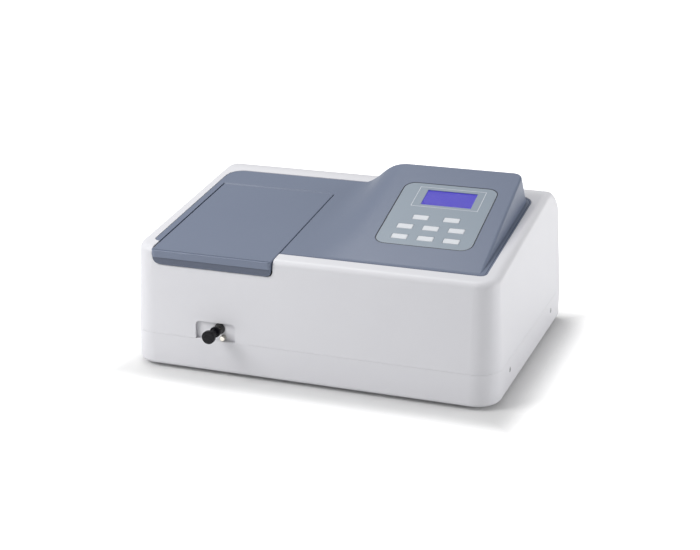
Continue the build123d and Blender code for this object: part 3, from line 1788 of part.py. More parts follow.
with BuildPart() as power_inlet:
    plate_on(
        panel_face.offset(inlet_flange[2]), inlet_spot, inlet_flange[0], inlet_flange[1], 1, inlet_flange[2]
    )
    plate_on(panel_face, inlet_spot, inlet_body[0] - 0.2, inlet_body[1] - 0.2, 1, inlet_body[2])
    with BuildSketch(panel_face.offset(inlet_flange[2])) as cavity:
        with Locations(inlet_spot):
            Rectangle(inlet_cavity[0], inlet_cavity[1])
        chamfer(cavity.vertices().group_by(Axis.Y)[-1], inlet_corner)
    extrude(amount=-inlet_cavity[2], mode=Mode.SUBTRACT)
    with BuildSketch(panel_face.offset(inlet_flange[2] - inlet_cavity[2])):
        for x, up in inlet_pins:
            with Locations((inlet_spot[0] + x, inlet_spot[1] + up)):
                Rectangle(*inlet_pin)
    extrude(amount=inlet_pin_length)

with BuildPart() as switch_bezel:
    plate_on(
        panel_face.offset(bezel_flange[2]), rocker_spot, bezel_flange[0], bezel_flange[1], 1, bezel_flange[2]
    )
    plate_on(panel_face, rocker_spot, bezel_body[0] - 0.2, bezel_body[1] - 0.2, 1, bezel_body[2])
    plate_on(
        panel_face.offset(bezel_flange[2]), rocker_spot, bezel_hole[0],
        bezel_hole[1], 1, bezel_hole[2], Mode.SUBTRACT
    )
    rocker_axis = Plane(
        panel_face.offset(rocker_pivot).from_local_coords((*rocker_spot, 0)), x_dir=(0, 1, 0), z_dir=(1, 0, 0)
    )
    with BuildSketch(rocker_axis.offset(-bezel_body[0] / 2 + 0.5)):
        Circle(rocker_pin_radius)
    extrude(amount=bezel_body[0] - 1, mode=Mode.SUBTRACT)

rocker_profile = [
    (rocker_half, rocker_rise),
    (0, rocker_dip),
    (-rocker_half, rocker_rise),
    (-rocker_half + 1, -rocker_sink),
    (rocker_half - 1, -rocker_sink),
]

with BuildPart() as power_rocker:
    lean = radians(rocker_tilt)
    tilt = Plane(
        rocker_axis.origin, x_dir=rear_plane.y_dir * cos(lean) + rear_plane.z_dir * sin(lean), z_dir=(1, 0, 0)
    )
    with BuildSketch(tilt.offset(-rocker_width / 2)) as side_view:
        with BuildLine():
            Polyline(*[(up, -out) for up, out in rocker_profile], close=True)
        make_face()
        Circle(rocker_belly)
    extrude(amount=rocker_width)
    with BuildSketch(tilt.offset(-rocker_width / 2 - rocker_pin)):
        Circle(rocker_pin_radius - running_clearance)
    extrude(amount=rocker_width + 2 * rocker_pin)

with BuildPart() as data_port:
    plate_on(panel_face.offset(port_flange[2]), port_spot, port_flange[0], port_flange[1], 1, port_flange[2])
    plate_on(panel_face, port_spot, port_body[0] - 0.2, port_body[1] - 0.2, 1, port_body[2])
    with BuildSketch(panel_face.offset(port_flange[2] + port_nose)) as shell:
        with Locations(port_spot):
            Trapezoid(port_shell[0], port_shell[1], port_shell[2])
        fillet(shell.vertices(), port_corner)
    extrude(amount=-port_nose - port_flange[2])
    for side in (-1, 1):
        stud = (port_spot[0] + side * port_stud_x, port_spot[1])
        disc_on(
            panel_face.offset(port_flange[2] + port_nose), stud, port_stud_radius, port_nose + port_flange[2]
        )

fan_face = panel_face.offset(-sheet)

with BuildPart() as fan_housing:
    plate_on(fan_face, fan_spot, fan_size, fan_size, fan_corner, fan_depth)
    disc_on(fan_face.offset(1), fan_spot, fan_bore, fan_depth + 2, Mode.SUBTRACT)
    disc_on(fan_face, fan_spot, fan_hub_radius, fan_back)
    with BuildSketch(fan_face):
        with Locations(fan_spot):
            with PolarLocations(fan_bore / 2 + fan_hub_radius / 2, 4, start_angle=45):
                Rectangle(fan_bore - fan_hub_radius + 2, fan_strut)
    extrude(amount=-fan_back)
    disc_on(fan_face.offset(-1), fan_spot, fan_pin_radius + running_clearance, fan_depth, Mode.SUBTRACT)
    with BuildSketch(fan_face.offset(1)):
        with Locations(fan_spot):
            with GridLocations(fan_screw_pitch, fan_screw_pitch, 2, 2):
                Circle(small_screw_radius)
    extrude(amount=-fan_depth - 2, mode=Mode.SUBTRACT)

blade_plane = fan_face.offset(-fan_back - fan_blade_gap)
blade_depth = fan_depth - fan_back - 2 * fan_blade_gap

with BuildPart() as fan_rotor:
    disc_on(blade_plane, fan_spot, fan_hub_radius, blade_depth)
    disc_on(fan_face.offset(-1.5), fan_spot, fan_pin_radius, fan_back)
    hub_centre = blade_plane.offset(-blade_depth / 2).from_local_coords((*fan_spot, 0))
    for number in range(blade_count):
        turn = radians(number * 360 / blade_count)
        outward = rear_plane.x_dir * cos(turn) + rear_plane.y_dir * sin(turn)
        blade = Plane(hub_centre + outward * (fan_hub_radius - 1), x_dir=rear_plane.z_dir, z_dir=outward)
        with BuildSketch(blade):
            Rectangle(blade_chord, blade_thickness, rotation=blade_angle)
        extrude(amount=blade_reach - fan_hub_radius + 1)

label_and_export(rear_panel.part, "rear_panel")
label_and_export(power_inlet.part, "power_inlet")
label_and_export(switch_bezel.part, "switch_bezel")
label_and_export(power_rocker.part, "power_rocker")
label_and_export(data_port.part, "data_port")
label_and_export(fan_housing.part, "fan_housing")
label_and_export(fan_rotor.part, "fan_rotor")
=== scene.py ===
from math import atan, cos, pi, radians, sin

import bmesh
import bpy
from mathutils import Matrix, Vector


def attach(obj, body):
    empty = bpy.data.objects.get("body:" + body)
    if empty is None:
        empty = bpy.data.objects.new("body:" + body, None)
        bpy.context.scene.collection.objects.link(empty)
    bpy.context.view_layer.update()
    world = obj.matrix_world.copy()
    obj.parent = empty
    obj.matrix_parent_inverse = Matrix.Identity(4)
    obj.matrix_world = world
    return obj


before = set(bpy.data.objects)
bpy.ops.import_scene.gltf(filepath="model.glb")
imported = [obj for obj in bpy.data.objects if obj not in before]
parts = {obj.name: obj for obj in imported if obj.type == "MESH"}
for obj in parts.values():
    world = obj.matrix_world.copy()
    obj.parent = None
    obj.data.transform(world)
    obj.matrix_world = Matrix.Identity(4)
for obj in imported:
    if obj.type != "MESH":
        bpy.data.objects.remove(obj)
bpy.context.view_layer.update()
print("packed model loaded,", len(parts), "parts")

# camera, floor and lights
cameraSetup = {
    "place": (0.6150, -1.6918, 0.6992),
    "pitch": 18.58,
    "yaw": 20.02,
    "roll": -0.08,
    "lens": 75.78,
    "sensor": 36.0,
    "reach": 40.0,
}
# the lift is the floor's own glow to the camera: near the case, and away from it; the low glow near the case
# paints shade round its foot
floorSetup = {
    "size": 14.0,
    "diffuse": 0.80,
    "lift": 0.02,
    "farLift": 0.75,
    "halfCase": (0.235, 0.175),
    "shadeReach": 0.07,
}
lampSetup = [
    # name, place, aim, size, watts
    ("keyLamp", (-1.3, -1.1, 1.4), (-0.08, 0.0, 0.1), 1.1, 24.5),
    ("sideLamp", (2.2, 0.55, 0.38), (0.2, 0.0, 0.08), 1.4, 21.0),
    ("topLamp", (-0.6, 0.5, 2.0), (-0.08, 0.0, 0.2), 1.2, 15.0),
]
worldLight = 0.39


def addCamera(setup):
    data = bpy.data.cameras.new("photoCamera")
    data.lens = setup["lens"]
    data.sensor_width = setup["sensor"]
    data.clip_end = setup["reach"]
    camera = bpy.data.objects.new("photoCamera", data)
    turn = Matrix.Rotation(radians(setup["yaw"]), 4, "Z")
    tip = Matrix.Rotation(radians(90.0 - setup["pitch"]), 4, "X")
    lean = Matrix.Rotation(radians(setup["roll"]), 4, "Z")
    camera.matrix_world = Matrix.Translation(setup["place"]) @ turn @ tip @ lean
    bpy.context.scene.collection.objects.link(camera)
    bpy.context.scene.camera = camera


def addLamp(name, place, aim, size, watts):
    data = bpy.data.lights.new(name, "AREA")
    data.shape = "DISK"
    data.size = size
    data.energy = watts
    lamp = bpy.data.objects.new(name, data)
    direction = Vector(aim) - Vector(place)
    lamp.rotation_euler = direction.to_track_quat("-Z", "Y").to_euler()
    lamp.location = place
    bpy.context.scene.collection.objects.link(lamp)


def meshObject(name, bm, smooth=True):
    mesh = bpy.data.meshes.new(name)
    bmesh.ops.recalc_face_normals(bm, faces=bm.faces)
    bm.to_mesh(mesh)
    bm.free()
    for face in mesh.polygons:
        face.use_smooth = smooth
    item = bpy.data.objects.new(name, mesh)
    bpy.context.scene.collection.objects.link(item)
    return item


def addFloor(setup):
    bm = bmesh.new()
    half = setup["size"] / 2
    corners = ((-half, -half), (half, -half), (half, half), (-half, half))
    bm.faces.new([bm.verts.new((x, y, 0.0)) for x, y in corners])
    floor = meshObject("floor", bm, smooth=False)
    material = bpy.data.materials.new("floorWhite")
    material.use_nodes = True
    tree = material.node_tree
    tree.nodes.clear()
    out = tree.nodes.new("ShaderNodeOutputMaterial")
    both = tree.nodes.new("ShaderNodeAddShader")
    paint = tree.nodes.new("ShaderNodeBsdfDiffuse")
    paint.inputs["Color"].default_value = (setup["diffuse"],) * 3 + (1.0,)
    glow = tree.nodes.new("ShaderNodeEmission")
    path = tree.nodes.new("ShaderNodeLightPath")
    seen = tree.nodes.new("ShaderNodeMath")
    seen.operation = "MAXIMUM"
    seenToo = tree.nodes.new("ShaderNodeMath")
    seenToo.operation = "MAXIMUM"
    level = tree.nodes.new("ShaderNodeMath")
    level.operation = "MULTIPLY"
    link = tree.links.new
    # the floor is plain white away from the case; close to it the glow drops, a painted shade round the
    # case's foot
    place = tree.nodes.new("ShaderNodeTexCoord")
    split = tree.nodes.new("ShaderNodeSeparateXYZ")
    link(place.outputs["Object"], split.inputs[0])
    farther = tree.nodes.new("ShaderNodeMath")
    farther.operation = "MAXIMUM"
    for number, half in enumerate(setup["halfCase"]):
        size = tree.nodes.new("ShaderNodeMath")
        size.operation = "ABSOLUTE"
        beyond = tree.nodes.new("ShaderNodeMath")
        beyond.operation = "SUBTRACT"
        beyond.inputs[1].default_value = half
        link(split.outputs[number], size.inputs[0])
        link(size.outputs[0], beyond.inputs[0])
        link(beyond.outputs[0], farther.inputs[number])
    # painted shade: the glow fades towards the case's footprint
    fade = tree.nodes.new("ShaderNodeMapRange")
    fade.interpolation_type = "SMOOTHSTEP"
    fade.inputs["From Min"].default_value = 0.0
    fade.inputs["From Max"].default_value = setup["shadeReach"]
    fade.inputs["To Min"].default_value = setup["lift"]
    fade.inputs["To Max"].default_value = setup["farLift"]
    link(farther.outputs[0], fade.inputs["Value"])
    link(fade.outputs["Result"], level.inputs[1])
    link(path.outputs["Is Camera Ray"], seen.inputs[0])
    link(path.outputs["Is Glossy Ray"], seen.inputs[1])
    link(seen.outputs[0], seenToo.inputs[0])
    link(path.outputs["Is Transmission Ray"], seenToo.inputs[1])
    link(seenToo.outputs[0], level.inputs[0])
    link(level.outputs[0], glow.inputs["Strength"])
    link(paint.outputs[0], both.inputs[0])
    link(glow.outputs[0], both.inputs[1])
    link(both.outputs[0], out.inputs["Surface"])
    floor.data.materials.append(material)


def setWorld(strength):
    world = bpy.data.worlds.new("studio")
    bpy.context.scene.world = world
    world.use_nodes = True
    tree = world.node_tree
    tree.nodes.clear()
    out = tree.nodes.new("ShaderNodeOutputWorld")
    mix = tree.nodes.new("ShaderNodeMixShader")
    light = tree.nodes.new("ShaderNodeBackground")
    light.inputs["Color"].default_value = (1.0, 1.0, 1.0, 1.0)
    light.inputs["Strength"].default_value = strength
    white = tree.nodes.new("ShaderNodeBackground")
    white.inputs["Color"].default_value = (1.0, 1.0, 1.0, 1.0)
    white.inputs["Strength"].default_value = 1.0
    path = tree.nodes.new("ShaderNodeLightPath")
    link = tree.links.new
    link(path.outputs["Is Camera Ray"], mix.inputs["Fac"])
    link(light.outputs[0], mix.inputs[1])
    link(white.outputs[0], mix.inputs[2])
    link(mix.outputs[0], out.inputs["Surface"])


addCamera(cameraSetup)
addFloor(floorSetup)
for lamp in lampSetup:
    addLamp(*lamp)
setWorld(worldLight)
bpy.context.scene.view_settings.view_transform = "Standard"
print("camera, floor and lights set")


# shader groups that several finishes share
def newGroup(name, inputs, outputs):
    group = bpy.data.node_groups.new(name, "ShaderNodeTree")
    for label, kind, value in inputs:
        socket = group.interface.new_socket(label, in_out="INPUT", socket_type=kind)
        socket.default_value = value
    for label, kind in outputs:
        group.interface.new_socket(label, in_out="OUTPUT", socket_type=kind)
    start = group.nodes.new("NodeGroupInput")
    end = group.nodes.new("NodeGroupOutput")
    return group, start, end


def spreadRoughness(group, noise, start, end):
    # the roughness wanders about its value with the noise
    centred = group.nodes.new("ShaderNodeMath")
    centred.operation = "SUBTRACT"
    centred.inputs[1].default_value = 0.5
    group.links.new(noise, centred.inputs[0])
    spread = group.nodes.new("ShaderNodeMath")
    spread.operation = "MULTIPLY_ADD"
    group.links.new(centred.outputs[0], spread.inputs[0])
    group.links.new(start.outputs["Roughness Spread"], spread.inputs[1])
    group.links.new(start.outputs["Roughness"], spread.inputs[2])
    group.links.new(spread.outputs[0], end.inputs["Roughness"])


def addBump(group, noise, depth, distance, end):
    # relief from the noise, as deep as the group's input says
    bump = group.nodes.new("ShaderNodeBump")
    bump.inputs["Distance"].default_value = distance
    group.links.new(depth, bump.inputs["Strength"])
    group.links.new(noise, bump.inputs["Height"])
    group.links.new(bump.outputs["Normal"], end.inputs["Normal"])


def blendColors(group, noise, start, second, end):
    # from the plain colour to the second one, with the noise
    blend = group.nodes.new("ShaderNodeMix")
    blend.data_type = "RGBA"
    group.links.new(noise, blend.inputs["Factor"])
    group.links.new(start.outputs["Color"], blend.inputs["A"])
    group.links.new(start.outputs[second], blend.inputs["B"])
    group.links.new(blend.outputs["Result"], end.inputs["Color"])


skinSetup = {"cloudDetail": 3.0, "grainDetail": 2.0, "grainRoughness": 0.6, "grainHeight": 0.0002}
streakSetup = {"detail": 4.0, "height": 0.0001, "tarnishScale": 40.0, "tarnishDetail": 5.0}


def makeMouldedSkin(setup):
    # spark-eroded mould texture: fine pits, and broad soft clouds in colour and sheen
    group, start, end = newGroup(
        "mouldedSkin",
        [
            ("Color", "NodeSocketColor", (0.8, 0.8, 0.8, 1.0)),
            ("Cloud Color", "NodeSocketColor", (0.75, 0.75, 0.75, 1.0)),
            ("Cloud Size", "NodeSocketFloat", 6.0),
            ("Grain Size", "NodeSocketFloat", 900.0),
            ("Grain Depth", "NodeSocketFloat", 0.1),
            ("Roughness", "NodeSocketFloat", 0.45),
            ("Roughness Spread", "NodeSocketFloat", 0.08),
        ],
        [("Color", "NodeSocketColor"), ("Roughness", "NodeSocketFloat"), ("Normal", "NodeSocketVector")],
    )
    node = group.nodes.new
    link = group.links.new
    place = node("ShaderNodeTexCoord")
    cloud = node("ShaderNodeTexNoise")
    cloud.inputs["Detail"].default_value = setup["cloudDetail"]
    link(place.outputs["Object"], cloud.inputs["Vector"])
    link(start.outputs["Cloud Size"], cloud.inputs["Scale"])
    blendColors(group, cloud.outputs["Fac"], start, "Cloud Color", end)
    grain = node("ShaderNodeTexNoise")
    grain.inputs["Detail"].default_value = setup["grainDetail"]
    grain.inputs["Roughness"].default_value = setup["grainRoughness"]
    link(place.outputs["Object"], grain.inputs["Vector"])
    link(start.outputs["Grain Size"], grain.inputs["Scale"])
    addBump(group, grain.outputs["Fac"], start.outputs["Grain Depth"], setup["grainHeight"], end)
    spreadRoughness(group, cloud.outputs["Fac"], start, end)
    return group


def makeDrawnMetal(setup):
    # drawing or turning marks: fine streaks along one axis, and a slight tarnish
    group, start, end = newGroup(
        "drawnMetal",
        [
            ("Color", "NodeSocketColor", (0.7, 0.7, 0.7, 1.0)),
            ("Tarnish Color", "NodeSocketColor", (0.5, 0.5, 0.5, 1.0)),
            ("Stretch", "NodeSocketVector", (1.0, 1.0, 0.03)),
            ("Streak Size", "NodeSocketFloat", 800.0),
            ("Streak Depth", "NodeSocketFloat", 0.1),
            ("Roughness", "NodeSocketFloat", 0.3),
            ("Roughness Spread", "NodeSocketFloat", 0.15),
        ],
        [("Color", "NodeSocketColor"), ("Roughness", "NodeSocketFloat"), ("Normal", "NodeSocketVector")],
    )
    node = group.nodes.new
    link = group.links.new
    place = node("ShaderNodeTexCoord")
    pull = node("ShaderNodeVectorMath")
    pull.operation = "MULTIPLY"
    link(place.outputs["Object"], pull.inputs[0])
    link(start.outputs["Stretch"], pull.inputs[1])
    streak = node("ShaderNodeTexNoise")
    streak.inputs["Detail"].default_value = setup["detail"]
    link(pull.outputs[0], streak.inputs["Vector"])
    link(start.outputs["Streak Size"], streak.inputs["Scale"])
    tarnish = node("ShaderNodeTexNoise")
    tarnish.inputs["Scale"].default_value = setup["tarnishScale"]
    tarnish.inputs["Detail"].default_value = setup["tarnishDetail"]
    link(place.outputs["Object"], tarnish.inputs["Vector"])
    blendColors(group, tarnish.outputs["Fac"], start, "Tarnish Color", end)
    addBump(group, streak.outputs["Fac"], start.outputs["Streak Depth"], setup["height"], end)
    spreadRoughness(group, streak.outputs["Fac"], start, end)
    return group


mouldedSkin = makeMouldedSkin(skinSetup)
drawnMetal = makeDrawnMetal(streakSetup)


def linear(red, green, blue):
    # 0-255 screen values to the values that the shader works in
    def one(value):
        value /= 255.0
        return value / 12.92 if value <= 0.04045 else ((value + 0.055) / 1.055) ** 2.4

    return one(red), one(green), one(blue), 1.0


def newMaterial(name):
    material = bpy.data.materials.new(name)
    material.use_nodes = True
    shader = material.node_tree.nodes["Principled BSDF"]
    return material, shader


def groupMaterial(name, group, look, shaderLook):
    material, shader = newMaterial(name)
    tree = material.node_tree
    skin = tree.nodes.new("ShaderNodeGroup")
    skin.node_tree = group
    for label, value in look.items():
        skin.inputs[label].default_value = value
    tree.links.new(skin.outputs["Color"], shader.inputs["Base Color"])
    tree.links.new(skin.outputs["Roughness"], shader.inputs["Roughness"])
    tree.links.new(skin.outputs["Normal"], shader.inputs["Normal"])
    for label, value in shaderLook.items():
        shader.inputs[label].default_value = value
    return material


plasticLooks = {
    "caseWhite": {
        "Color": linear(226, 226, 230),
        "Cloud Color": linear(219, 219, 224),
        "Cloud Size": 5.0,
        "Grain Size": 1100.0,
        "Grain Depth": 0.12,
        "Roughness": 0.42,
        "Roughness Spread": 0.06,
    },
    "deckGrey": {
        "Color": linear(114, 124, 145),
        "Cloud Color": linear(108, 118, 140),
        "Cloud Size": 7.0,
        "Grain Size": 1000.0,
        "Grain Depth": 0.18,
        "Roughness": 0.36,
        "Roughness Spread": 0.08,
    },
    # painted shade: the dark blue of shaded grooves and gaps on the deck
    "paintedShadeBlue": {
        "Color": linear(64, 72, 90),
        "Cloud Color": linear(56, 64, 82),
        "Cloud Size": 9.0,
        "Grain Size": 1000.0,
        "Grain Depth": 0.1,
        "Roughness": 0.6,
        "Roughness Spread": 0.08,
    },
    # painted shade: the lid's own blue darkened for the shade under its lip
    "apronShadeBlue": {
        "Color": linear(86, 94, 112),
        "Cloud Color": linear(80, 88, 106),
        "Cloud Size": 9.0,
        "Grain Size": 1000.0,
        "Grain Depth": 0.18,
        "Roughness": 0.42,
        "Roughness Spread": 0.08,
    },
    "foilGrey": {
        "Color": linear(146, 158, 169),
        "Cloud Color": linear(138, 150, 163),
        "Cloud Size": 12.0,
        "Grain Size": 2200.0,
        "Grain Depth": 0.05,
        "Roughness": 0.33,
        "Roughness Spread": 0.05,
    },
    "keyWhite": {
        "Color": linear(218, 221, 226),
        "Cloud Color": linear(212, 216, 222),
        "Cloud Size": 40.0,
        "Grain Size": 2000.0,
        "Grain Depth": 0.05,
        "Roughness": 0.35,
        "Roughness Spread": 0.05,
    },
    "knobBlack": {
        "Color": linear(20, 20, 26),
        "Cloud Color": linear(15, 15, 20),
        "Cloud Size": 60.0,
        "Grain Size": 1500.0,
        "Grain Depth": 0.08,
        "Roughness": 0.28,
        "Roughness Spread": 0.1,
    },
    "rubberBlack": {
        "Color": linear(38, 38, 40),
        "Cloud Color": linear(30, 30, 32),
        "Cloud Size": 30.0,
        "Grain Size": 700.0,
        "Grain Depth": 0.3,
        "Roughness": 0.75,
        "Roughness Spread": 0.1,
    },
    "plasticBlack": {
        "Color": linear(42, 42, 45),
        "Cloud Color": linear(34, 34, 37),
        "Cloud Size": 25.0,
        "Grain Size": 900.0,
        "Grain Depth": 0.15,
        "Roughness": 0.45,
        "Roughness Spread": 0.1,
    },
    "anodisedBlack": {
        "Color": linear(40, 40, 43),
        "Cloud Color": linear(30, 30, 33),
        "Cloud Size": 20.0,
        "Grain Size": 1600.0,
        "Grain Depth": 0.1,
        "Roughness": 0.5,
        "Roughness Spread": 0.12,
    },
    "sheetGrey": {
        "Color": linear(196, 198, 201),
        "Cloud Color": linear(186, 188, 192),
        "Cloud Size": 9.0,
        "Grain Size": 700.0,
        "Grain Depth": 0.2,
        "Roughness": 0.45,
        "Roughness Spread": 0.1,
    },
    "boardGreen": {
        "Color": linear(38, 92, 58),
        "Cloud Color": linear(30, 78, 50),
        "Cloud Size": 120.0,
        "Grain Size": 500.0,
        "Grain Depth": 0.2,
        "Roughness": 0.4,
        "Roughness Spread": 0.2,
    },
    "ceramicCream": {
        "Color": linear(224, 219, 206),
        "Cloud Color": linear(212, 206, 192),
        "Cloud Size": 60.0,
        "Grain Size": 900.0,
        "Grain Depth": 0.15,
        "Roughness": 0.3,
        "Roughness Spread": 0.1,
    },
}
metalLooks = {
    "nickelPlate": {
        "Color": linear(214, 211, 203),
        "Tarnish Color": linear(190, 186, 176),
        "Stretch": (1.0, 0.03, 1.0),
        "Streak Size": 1500.0,
        "Streak Depth": 0.1,
        "Roughness": 0.24,
        "Roughness Spread": 0.15,
    },
    "zincSteel": {
        "Color": linear(186, 187, 190),
        "Tarnish Color": linear(150, 150, 152),
        "Stretch": (1.0, 1.0, 0.1),
        "Streak Size": 1200.0,
        "Streak Depth": 0.1,
        "Roughness": 0.35,
        "Roughness Spread": 0.2,
    },
    "castAluminium": {
        "Color": linear(192, 194, 197),
        "Tarnish Color": linear(168, 170, 174),
        "Stretch": (1.0, 0.05, 1.0),
        "Streak Size": 500.0,
        "Streak Depth": 0.25,
        "Roughness": 0.4,
        "Roughness Spread": 0.2,
    },
    "turnedBrass": {
        "Color": linear(206, 178, 110),
        "Tarnish Color": linear(176, 146, 84),
        "Stretch": (1.0, 1.0, 0.05),
        "Streak Size": 1300.0,
        "Streak Depth": 0.12,
        "Roughness": 0.28,
        "Roughness Spread": 0.15,
    },
    "mirrorSilver": {
        "Color": linear(235, 236, 238),
        "Tarnish Color": linear(228, 230, 233),
        "Stretch": (1.0, 1.0, 1.0),
        "Streak Size": 300.0,
        "Streak Depth": 0.0,
        "Roughness": 0.04,
        "Roughness Spread": 0.02,
    },
}

# how much plain plastic reflects, and the few finishes that reflect less
plainSheen = 0.5
dullPlastics = {"knobBlack": 0.15, "paintedShadeBlue": 0.2}

finishes = {}
for label, look in plasticLooks.items():
    sheen = dullPlastics.get(label, plainSheen)
    finishes[label] = groupMaterial(label, mouldedSkin, look, {"Metallic": 0.0, "Specular IOR Level": sheen})
for label, look in metalLooks.items():
    finishes[label] = groupMaterial(label, drawnMetal, look, {"Metallic": 1.0})

glassLooks = {
    "clearAcrylic": {"color": (1.0, 1.0, 1.0, 1.0), "roughness": 0.05, "ior": 1.49},
    "lensGlass": {"color": (0.96, 0.98, 1.0, 1.0), "roughness": 0.02, "ior": 1.52},
    "filterGlass": {"color": (0.95, 0.45, 0.12, 1.0), "roughness": 0.03, "ior": 1.5},
}
for label, look in glassLooks.items():
    material, shader = newMaterial(label)
    shader.inputs["Base Color"].default_value = look["color"]
    shader.inputs["Roughness"].default_value = look["roughness"]
    shader.inputs["IOR"].default_value = look["ior"]
    shader.inputs["Transmission Weight"].default_value = 1.0
    finishes[label] = material

displayLook = {
    "glow": linear(70, 52, 216),
    "edgeGlow": linear(56, 40, 198),
    "strength": 0.80,
    "cloudSize": 30.0,
    "base": linear(30, 24, 90),
    "roughness": 0.25,
}


def makeDisplayBlue(look):
    # back-lit panel, a little uneven from its edge lamps
    material, shader = newMaterial("displayBlue")
    tree = material.node_tree
    place = tree.nodes.new("ShaderNodeTexCoord")
    cloud = tree.nodes.new("ShaderNodeTexNoise")
    cloud.inputs["Scale"].default_value = look["cloudSize"]
    mix = tree.nodes.new("ShaderNodeMix")
    mix.data_type = "RGBA"
    mix.inputs["A"].default_value = look["glow"]
    mix.inputs["B"].default_value = look["edgeGlow"]
    tree.links.new(place.outputs["Object"], cloud.inputs["Vector"])
    tree.links.new(cloud.outputs["Fac"], mix.inputs["Factor"])
    tree.links.new(mix.outputs["Result"], shader.inputs["Emission Color"])
    shader.inputs["Emission Strength"].default_value = look["strength"]
    shader.inputs["Base Color"].default_value = look["base"]
    shader.inputs["Roughness"].default_value = look["roughness"]
    return material


finishes["displayBlue"] = makeDisplayBlue(displayLook)

gratingLook = {
    "color": linear(190, 196, 215),
    "ruleScale": 450.0,
    "ruleDepth": 0.1,
    "ruleHeight": 0.0001,
    "roughness": 0.12,
}


def makeGratingFace(look):
    # fine ruled lines across an aluminised face
    material, shader = newMaterial("ruledGrating")
    tree = material.node_tree
    place = tree.nodes.new("ShaderNodeTexCoord")
    rules = tree.nodes.new("ShaderNodeTexWave")
    rules.inputs["Scale"].default_value = look["ruleScale"]
    bump = tree.nodes.new("ShaderNodeBump")
    bump.inputs["Strength"].default_value = look["ruleDepth"]
    bump.inputs["Distance"].default_value = look["ruleHeight"]
    tree.links.new(place.outputs["Object"], rules.inputs["Vector"])
    tree.links.new(rules.outputs["Fac"], bump.inputs["Height"])
    tree.links.new(bump.outputs["Normal"], shader.inputs["Normal"])
    shader.inputs["Base Color"].default_value = look["color"]
    shader.inputs["Metallic"].default_value = 1.0
    shader.inputs["Roughness"].default_value = look["roughness"]
    return material


finishes["ruledGrating"] = makeGratingFace(gratingLook)
print("finishes made:", len(finishes))

# which part wears which finish
dressing = {
    "caseWhite": ["upper_case", "lower_case"],
    "deckGrey": ["top_deck", "compartment_lid"],
    "foilGrey": ["keypad_overlay"],
    "keyWhite": [f"key_{number}" for number in range(1, 9)],
    "displayBlue": ["lcd_panel"],
    "clearAcrylic": ["lcd_window"],
    "knobBlack": ["rod_knob"],
    "nickelPlate": ["guide_screw", "pull_rod", "guide_rails", "hinge_pins"],
    "zincSteel": [
        "bench_screws",
        "small_screws",
        "case_screws",
        "grating_motor",
        "filter_motor",
        "data_port",
    ],
    "rubberBlack": ["rubber_feet", "bench_grommets", "lid_seal"],
    "castAluminium": ["optical_bench", "mirror_mounts", "lens_mount", "grating_table"],
    "anodisedBlack": [
        "compartment_box",
        "cell_carriage",
        "monochromator_housing",
        "monochromator_cover",
        "detector_housing",
        "filter_wheel",
    ],
    "mirrorSilver": ["mirrors"],
    "ruledGrating": ["diffraction_grating"],
    "lensGlass": ["condenser_lens", "halogen_lamp"],
    "filterGlass": ["filter_glasses"],
    "sheetGrey": ["rear_panel", "lamp_house", "power_supply"],
    "boardGreen": ["key_board", "main_board", "preamp_board"],
    "plasticBlack": [
        "power_inlet",
        "switch_bezel",
        "power_rocker",
        "fan_housing",
        "fan_rotor",
        "lcd_frame",
        "rod_bushes",
    ],
    "turnedBrass": ["board_standoffs", "grating_pinion"],
    "ceramicCream": ["lamp_socket"],
}
for finish, names in dressing.items():
    for name in names:
        for place in parts[name].material_slots:
            place.material = finishes[finish]
print("parts dressed")

# the console's sloping face, for the print on the foil and the painted shade line at the foil's edge
consolePlane = {"start": (0.0, -0.1229, 0.15951), "slope": 0.30}
consoleTilt = atan(consolePlane["slope"])


def onSlope(start, tilt, x, along, lift):
    # a point x across and along a sloping face, lifted off it, in metres
    y = along * cos(tilt) - lift * sin(tilt)
    z = along * sin(tilt) + lift * cos(tilt)
    return Vector(start) + Vector((x, y, z))


def onConsole(x, along, lift):
    return onSlope(consolePlane["start"], consoleTilt, x, along, lift)


def bridge(bm, outer, inner, closed=True):
    # quads between two rows that have as many points
    count = len(outer)
    for number in range(count if closed else count - 1):
        following = (number + 1) % count
        bm.faces.new((outer[number], outer[following], inner[following], inner[number]))


printedFrame = {
    "left": 0.0806,
    "right": 0.1655,
    "low": 0.1267,
    "high": 0.1710,
    "width": 0.0007,
    "lift": -0.00013,
}


def addPrintedFrame(look):
    # the thin light line printed round the display
    bm = bmesh.new()
    rings = []
    for grow in (0.0, look["width"]):
        corners = (
            (look["left"] - grow, look["low"] - grow),
            (look["right"] + grow, look["low"] - grow),
            (look["right"] + grow, look["high"] + grow),
            (look["left"] - grow, look["high"] + grow),
        )
        rings.append([bm.verts.new(onConsole(x, along, look["lift"])) for x, along in corners])
    bridge(bm, *rings)
    line = meshObject("displayLine", bm, smooth=False)
    line.data.materials.append(finishes["keyWhite"])
    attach(line, "case")


addPrintedFrame(printedFrame)

# painted shade: where the dark line round the foil's edge lies
foilGapShade = {
    "centre": (0.1197, 0.1095),
    "half": (0.06125, 0.071),
    "radius": 0.0145,
    "width": 0.0009,
    "lift": -0.00014,
    "cornerSteps": 10,
}


def roundedRing(half, radius, steps):
    # points round a rectangle with round corners, from its centre
    corners = (
        (half[0] - radius, half[1] - radius, 0.0),
        (radius - half[0], half[1] - radius, 0.5),
        (radius - half[0], radius - half[1], 1.0),
        (half[0] - radius, radius - half[1], 1.5),
    )
    points = []
    for x, along, start in corners:
        for step in range(steps + 1):
            angle = (start + 0.5 * step / steps) * pi
            points.append((x + radius * cos(angle), along + radius * sin(angle)))
    return points


